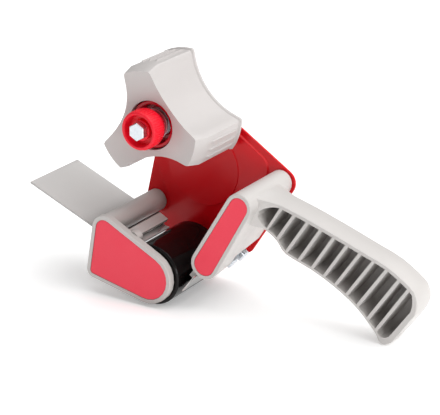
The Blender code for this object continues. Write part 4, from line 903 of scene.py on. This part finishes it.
@dataclass
class TapeHub:
    """Three-lobed tape hub, its bushes and the spindle it turns on."""

    edge: float = 0.25 * MM
    spindle_edge: float = 0.2 * MM

    def build(self) -> list[bpy.types.Object]:
        """Round the hub's edges and dress what it turns on.

        Returns:
            The spindle and the hub.
        """
        for node in ("hub_bush_near", "hub_bush_far"):
            dress(node, Finish.BRONZE)
        return [restyled("hub_spindle", self.spindle_edge, Finish.ZINC),
                restyled("hub", self.edge, Finish.HUB_ABS, steps=3)]


@dataclass
class TapeBrake:
    """Knurled knob, its bolt and washer, the brake spring and the cup."""

    knob_radius: float = 12.0 * MM
    knob_near: float = -9.0 * MM
    knob_back: float = 2.5 * MM
    knob_edge: float = 0.9 * MM
    collar_radius: float = 8.8 * MM
    collar_back: float = 7.6 * MM
    recess_radius: float = 10.0 * MM
    recess_floor: float = -3.5 * MM
    boss_radius: float = 6.6 * MM
    boss_y: float = -6.7 * MM
    bolt_bore: float = 3.3 * MM
    knob_steps: int = 96
    teeth: int = 48
    tooth_width: float = 1.05 * MM
    tooth_height: float = 0.5 * MM
    tooth_end: float = 1.2 * MM
    # Share of a tooth's height in the knob, and of its width at its shoulders and crest.
    tooth_sunk: float = 0.2
    tooth_shoulder: float = 0.7
    tooth_crest: float = 0.25
    wire_radius: float = 0.6 * MM
    coil_radius: float = 9.0 * MM
    curls: float = 2.5
    spring_start: float = 9.8 * MM
    spring_end: float = 14.3 * MM
    end_ease: float = 0.25
    points_per_curl: int = 48
    wire_sides: int = 14
    cup_edge: float = 0.3 * MM
    bolt_edge: float = 0.35 * MM
    washer_edge: float = 0.15 * MM

    def knob_profile(self) -> list[Pair]:
        """Draw the knob's section, from the collar's bore round to the boss's.

        Returns:
            Its points of (radius, y).
        """
        edge = self.knob_edge
        bevel = edge / 3
        small_bevel = edge / 4
        profile = [
            (self.bolt_bore, self.collar_back),
            (self.collar_radius - bevel, self.collar_back),
            (self.collar_radius, self.collar_back - bevel),
            (self.collar_radius, self.knob_back),
            (self.knob_radius - edge, self.knob_back),
            (self.knob_radius, self.knob_back - edge),
        ]
        profile += quarter_round(self.knob_radius - edge, self.knob_near + edge, edge)
        profile += [
            (self.recess_radius + bevel, self.knob_near),
            (self.recess_radius, self.knob_near + bevel),
            (self.recess_radius - edge, self.recess_floor),
            (self.boss_radius, self.recess_floor),
            (self.boss_radius, self.boss_y + small_bevel),
            (self.boss_radius - small_bevel, self.boss_y),
            (self.bolt_bore, self.boss_y),
        ]
        return profile

    def build_knob(self) -> bpy.types.Object:
        """Turn the knob's body and set a knurl of fine teeth round it.

        Returns:
            The knob.
        """
        knob = show("brake_knob_look",
                    turned("knob", self.knob_profile(), self.knob_steps, ORIGIN), None)
        tooth = show("knurl_tooth", self.tooth_mesh(), None)
        ring_tool().run(knob, {"Form": tooth, "Count": self.teeth,
                               "Radius": self.knob_radius, "Centre": ORIGIN},
                        Finish.KNOB_ABS)
        bpy.data.objects.remove(tooth)
        return stand_for(knob, "brake_knob")

    def tooth_mesh(self) -> bpy.types.Mesh:
        """Make one knurl tooth along Y: a ridge with sloping sides and ends.

        Returns:
            The tooth's mesh.
        """
        half = self.tooth_width / 2
        near, back = self.knob_near + self.knob_edge, self.knob_back - self.knob_edge
        past = self.tooth_end / 3
        rings = []
        for y, rise in ((near - past, 0.0), (near + self.tooth_end, 1.0),
                        (back - self.tooth_end, 1.0), (back + past, 0.0)):
            top = self.tooth_height * (rise - self.tooth_sunk)
            slope = ((-self.tooth_height, half),
                     (top - self.tooth_height / 4, half * self.tooth_shoulder),
                     (top, half * self.tooth_crest))
            rings.append([Vector((x, y, -z)) for x, z in slope]
                         + [Vector((x, y, z)) for x, z in reversed(slope)])
        return skin("knurl_tooth", rings)

    def build_spring(self) -> bpy.types.Object:
        """Wind the brake spring, its end curls closing up.

        Returns:
            The spring.
        """
        count = int(self.curls * self.points_per_curl)
        points = []
        for step in range(count + 1):
            share = step / count
            eased = share - math.sin(math.tau * share) / math.tau * self.end_ease
            y = self.spring_start + (self.spring_end - self.spring_start) * eased
            turn = math.tau * self.curls * share
            points.append(at(self.coil_radius * math.cos(turn), y,
                             self.coil_radius * math.sin(turn)))
        return wound("brake_spring", points, self.wire_radius, self.wire_sides)

    def build(self) -> list[bpy.types.Object]:
        """Build the brake's pieces.

        Returns:
            The cup, bolt, washer, knob and spring.
        """
        return [
            restyled("brake_cup", self.cup_edge, Finish.CUP_ABS),
            restyled("tension_bolt", self.bolt_edge, Finish.ZINC),
            restyled("thrust_washer", self.washer_edge, Finish.ZINC),
            self.build_knob(),
            self.build_spring(),
        ]


@dataclass
class GuideRoller:
    """Black sleeve on its core, with bushes, axle and fasteners."""

    edge: float = 0.35 * MM
    nut_edge: float = 0.3 * MM
    washer_edge: float = 0.15 * MM

    def build(self) -> list[bpy.types.Object]:
        """Round and dress the roller's pieces.

        Returns:
            The core, sleeve, axle, washer and nut.
        """
        for node in ("roller_bush_near", "roller_bush_far"):
            dress(node, Finish.BRONZE)
        dress("roller_spacer", Finish.CORE_ABS)
        return [
            restyled("roller_core", self.edge, Finish.CORE_ABS),
            restyled("roller_sleeve", self.edge, Finish.SLEEVE),
            restyled("roller_axle", self.washer_edge, Finish.ZINC),
            restyled("axle_washer", self.washer_edge, Finish.ZINC),
            restyled("axle_nut", self.nut_edge, Finish.ZINC),
        ]


@dataclass
class ReturnStop:
    """Sprung stop over the roller, its pin and its torsion spring."""

    edge: float = 0.15 * MM
    pin: Pair = (-12.6 * MM, -74.5 * MM)
    coil_radius: float = 1.9 * MM
    wire_radius: float = 0.25 * MM
    wire_sides: int = 10
    points_per_curl: int = 32
    far_y: float = 30.45 * MM
    near_y: float = 25.085 * MM
    leave: float = math.radians(75.6)
    wound_turn: float = 4 * math.tau + math.radians(284.4)
    tip: Triple = (7.851 * MM, 18.25 * MM, 0.304 * MM)
    bend: Triple = (5.316 * MM, 30.45 * MM, 0.597 * MM)
    corner: Triple = (1.9 * MM, 25.085 * MM, 2.154 * MM)
    leg_end: Triple = (-0.746 * MM, 25.085 * MM, 3.567 * MM)

    def build_spring(self) -> bpy.types.Object:
        """Wind the spring round the pin, one leg on the stop and one on the bar.

        Returns:
            The spring.
        """
        x, z = self.pin
        centre = at(x, 0.0, z)
        points = [centre + Vector(self.tip), centre + Vector(self.bend)]
        steps = round(self.wound_turn / math.tau * self.points_per_curl)
        for step in range(steps + 1):
            share = step / steps
            turn = self.leave + self.wound_turn * share
            points.append(centre + Vector((
                self.coil_radius * math.cos(turn),
                self.far_y + (self.near_y - self.far_y) * share,
                self.coil_radius * math.sin(turn))))
        points += [centre + Vector(self.corner), centre + Vector(self.leg_end)]
        return wound("stop_spring", points, self.wire_radius, self.wire_sides)

    def build(self) -> list[bpy.types.Object]:
        """Build the stop's pieces.

        Returns:
            The stop, pin and spring.
        """
        # The stop takes the sheet grey with near-black shade painted on it under the guide
        # bar.
        return [restyled("return_stop", self.edge, Finish.WIPER_SHEET),
                restyled("stop_pin", self.edge, Finish.ZINC),
                self.build_spring()]


@dataclass
class FrontHousing:
    """Near side plate with tube and guide bar, and its film."""

    edge: float = 0.4 * MM
    film_edge: float = 0.2 * MM

    def build(self) -> list[bpy.types.Object]:
        """Round and dress the front pieces."""
        # The front moulding takes shade painted darker between its walls.
        return [restyled("front_housing", self.edge, Finish.FRONT_ABS, steps=3),
                laid_film("front_label", self.film_edge)]


@dataclass
class Wiper:
    """Springy sheet hooked under the front tube, which bends along its length."""

    edge: float = 0.3 * MM
    slope: float = math.radians(156.8)
    hinge: Pair = (-29.4 * MM, -69.0 * MM)
    bend_from: float = 6.0 * MM
    bend_to: float = 44.0 * MM
    length: float = 62.6 * MM
    step: float = 1.8 * MM

    def build(self) -> list[bpy.types.Object]:
        """Round the sheet and divide it along its length.

        Returns:
            The wiper.
        """
        # Where walls close over the sheet, near-black shade is painted into its colour.
        piece = rounded_copy("wiper", self.edge, Finish.WIPER_SHEET)
        x, z = self.hinge
        hinge = at(x, 0.0, z)
        along = Vector((math.cos(self.slope), 0.0, math.sin(self.slope)))
        stations = [hinge + along * self.step * count
                    for count in range(1, int(self.length / self.step))]
        divide(piece, stations, along)
        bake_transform(piece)
        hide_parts("wiper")
        return [piece]


@dataclass
class Handle:
    """Handle moulding with its film."""

    edge: float = 0.4 * MM
    film_edge: float = 0.2 * MM

    def build(self) -> list[bpy.types.Object]:
        """Round and dress the handle's pieces."""
        return [restyled("handle", self.edge, Finish.GREY_ABS),
                laid_film("handle_label", self.film_edge)]


@dataclass
class TapeBlade:
    """Toothed steel blade, ground thin towards its teeth, and its thumb screws."""

    ground: float = 3.2 * MM
    edge_share: float = 0.75
    edge: float = 0.05 * MM
    slope: float = math.radians(232.2)
    screw_edge: float = 0.12 * MM

    def build_blade(self) -> bpy.types.Object:
        """Grind the blade's outer face down towards the teeth.

        Returns:
            The blade.
        """
        down = Vector((math.cos(self.slope), 0.0, math.sin(self.slope)))
        outward = Vector((-down.z, 0.0, down.x))
        piece = rounded_copy("blade", self.edge, Finish.STEEL, steps=1)
        reach = max(down.dot(corner.co) for corner in piece.data.vertices)
        inner = min(outward.dot(corner.co) for corner in piece.data.vertices)
        start = reach - self.ground
        divide(piece, [down * start], down)
        for corner in piece.data.vertices:
            past = (down.dot(corner.co) - start) / self.ground
            rise = outward.dot(corner.co) - inner
            if past > 0.0:
                corner.co -= outward * rise * self.edge_share * past
        return stand_for(piece, "blade")

    def build(self) -> list[bpy.types.Object]:
        """Build the blade and round its thumb screws.

        Returns:
            The blade and both screws.
        """
        return [self.build_blade()] + [
            restyled(node, self.screw_edge, Finish.ZINC)
            for node in ("blade_screw_near", "blade_screw_far")]


@dataclass
class FrameScrews:
    """Pan-head screws with cross recesses through the back of the side frame."""

    nodes: tuple[str, ...] = ("frame_screw_upper", "frame_screw_lower",
                              "frame_screw_front")
    shank_radius: float = 1.5 * MM
    head_radius: float = 3.6 * MM
    head_height: float = 2.1 * MM
    recess_long: float = 4.0 * MM
    recess_wide: float = 0.9 * MM
    recess_depth: float = 1.3 * MM
    # Shares of the head's radius and height along its dome, from its rim up.
    dome: tuple[Pair, ...] = ((1.0, 0.72), (0.94, 0.5), (0.8, 0.27), (0.55, 0.09))
    # Shares of a slot's length at its floor and its mouth, and the least of its width.
    floor_share: float = 0.55
    mouth_share: float = 1.2
    least_share: float = 0.8
    steps: int = 40

    def build_form(self) -> bpy.types.Object:
        """Make one screw along Y, the top of its head at the origin.

        Returns:
            The screw, to be set in each hole.
        """
        low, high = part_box(self.nodes[0])
        length = high.y - low.y
        radius, head = self.head_radius, self.head_height
        dome = [(radius * out, -head * down) for out, down in self.dome]
        profile = [(0.0, -length), (self.shank_radius, -length), (self.shank_radius, -head),
                   (radius, -head), *dome, (0.0, 0.0)]
        screw = show("screw_form", turned("screw_form", profile, self.steps, Vector()), None)
        for across, up in ((self.recess_long, self.recess_wide),
                           (self.recess_wide, self.recess_long)):
            carve(screw, self.recess_mesh(across, up))
        return screw

    def recess_mesh(self, across: float, up: float) -> bpy.types.Mesh:
        """Make one slot of the cross recess, narrowing as it goes in.

        Args:
            across: Its size along X.
            up: Its size along Z.

        Returns:
            The slot as a form to take away.
        """
        rings = []
        for y, share in ((-self.recess_depth, self.floor_share),
                         (self.recess_depth, self.mouth_share)):
            wide = max(share, self.least_share)
            x_share, z_share = (wide, share) if up > across else (share, wide)
            half_x, half_z = across * x_share / 2, up * z_share / 2
            rings.append([Vector((half_x * x, y, half_z * z))
                          for x, z in ((-1, -1), (1, -1), (1, 1), (-1, 1))])
        return skin("cross_recess", rings)

    def build(self) -> list[bpy.types.Object]:
        """Set a screw in each of the frame's screw holes.

        Returns:
            The three screws as one piece.
        """
        spots = []
        for node in self.nodes:
            low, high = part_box(node)
            spots.append(Vector(((low.x + high.x) / 2, high.y, (low.z + high.z) / 2)))
        screw = self.build_form()
        screws = path_piece("frame_screws_look", spots)
        spots_tool().run(screws, {"Form": screw}, Finish.ZINC)
        bpy.data.objects.remove(screw)
        return [stand_for(screws, *self.nodes)]


@dataclass(frozen=True)
class SoftBox:
    """A rectangular soft light aimed at the dispenser."""

    name: str
    place: Triple
    width: float
    height: float
    power: float

    def build(self, aim: Vector) -> None:
        """Hang the light.

        Args:
            aim: Point that it faces.
        """
        light = bpy.data.lights.new(self.name, "AREA")
        light.shape = "RECTANGLE"
        light.size = self.width
        light.size_y = self.height
        light.energy = self.power
        lamp = put(self.name, light)
        lamp.location = self.place
        lamp.visible_camera = False
        lamp.rotation_euler = (aim - lamp.location).to_track_quat("-Z", "Y").to_euler()


@dataclass
class Studio:
    """White paper, soft boxes and the camera."""

    floor_half: float = 15.0
    sky: str = "#FFFFFF"
    world_strength: float = 0.30
    sun_strength: float = 2.55
    sun_spread: float = math.radians(80)
    sun_from: Triple = (0.27, 0.22, 0.94)
    lens: float = 149.6
    sensor: float = 36.0
    seen: Pair = (0.05, 50.0)
    # The camera's place from the hub's near end, and its own right and back directions.
    camera_place: Triple = (0.5849, -0.8773, 0.3387)
    right: Triple = (0.8548, 0.5190, 0.0)
    back: Triple = (0.4867, -0.8015, 0.3473)
    boxes: tuple[SoftBox, ...] = (
        SoftBox("right_box", (1.25, 0.1, 0.55), 0.9, 0.9, 5.0),
        SoftBox("grip_card", (0.45, -0.30, 0.03), 0.2, 0.2, 0.55),
    )

    def build(self) -> None:
        """Lay the floor, hang the lights and set the camera."""
        half = self.floor_half
        mesh = bpy.data.meshes.new("studio_floor")
        mesh.from_pydata([(-half, -half, 0), (half, -half, 0), (half, half, 0),
                          (-half, half, 0)], [], [(0, 1, 2, 3)])
        floor = show("studio_floor", mesh, Finish.PAPER)
        world = bpy.data.worlds.new("white_room")
        world.use_nodes = True
        bpy.context.scene.world = world
        backdrop = world.node_tree.nodes["Background"]
        backdrop.inputs["Color"].default_value = linear(self.sky)
        backdrop.inputs["Strength"].default_value = self.world_strength
        low, high = CAD_BOX
        for box in self.boxes:
            box.build((low + high) / 2)
        self.hang_sun()
        self.set_camera()
        bpy.context.scene.view_settings.view_transform = "Standard"

    def hang_sun(self) -> None:
        """Hang a broad overhead light that is even over the whole floor."""
        light = bpy.data.lights.new("overhead_light", "SUN")
        light.energy = self.sun_strength
        light.angle = self.sun_spread
        lamp = put("overhead_light", light)
        lamp.rotation_euler = Vector(self.sun_from).to_track_quat("Z", "Y").to_euler()

    def set_camera(self) -> None:
        """Set the camera at the photograph's viewing angle."""
        camera = bpy.data.cameras.new("product_camera")
        camera.lens = self.lens
        camera.sensor_width = self.sensor
        camera.clip_start, camera.clip_end = self.seen
        right, back = Vector(self.right).normalized(), Vector(self.back).normalized()
        up = back.cross(right)
        turn = Matrix((right, up, back)).transposed()
        stand = put("product_camera", camera)
        stand.matrix_world = Matrix.Translation(at(*self.camera_place)) @ turn.to_4x4()
        bpy.context.scene.camera = stand


def main() -> None:
    """Build the dispenser's looks and its studio."""
    logging.basicConfig(level=logging.INFO, format="%(name)s: %(message)s")
    for assembly in (SideFrame(), TapeHub(), TapeBrake(), GuideRoller(), FrontHousing(),
                     ReturnStop(), Wiper(), Handle(), TapeBlade(), FrameScrews()):
        for piece in assembly.build():
            log.info("%s: %d faces", piece.name, len(piece.data.polygons))
    Studio().build()


if __name__ == "__main__":
    main()
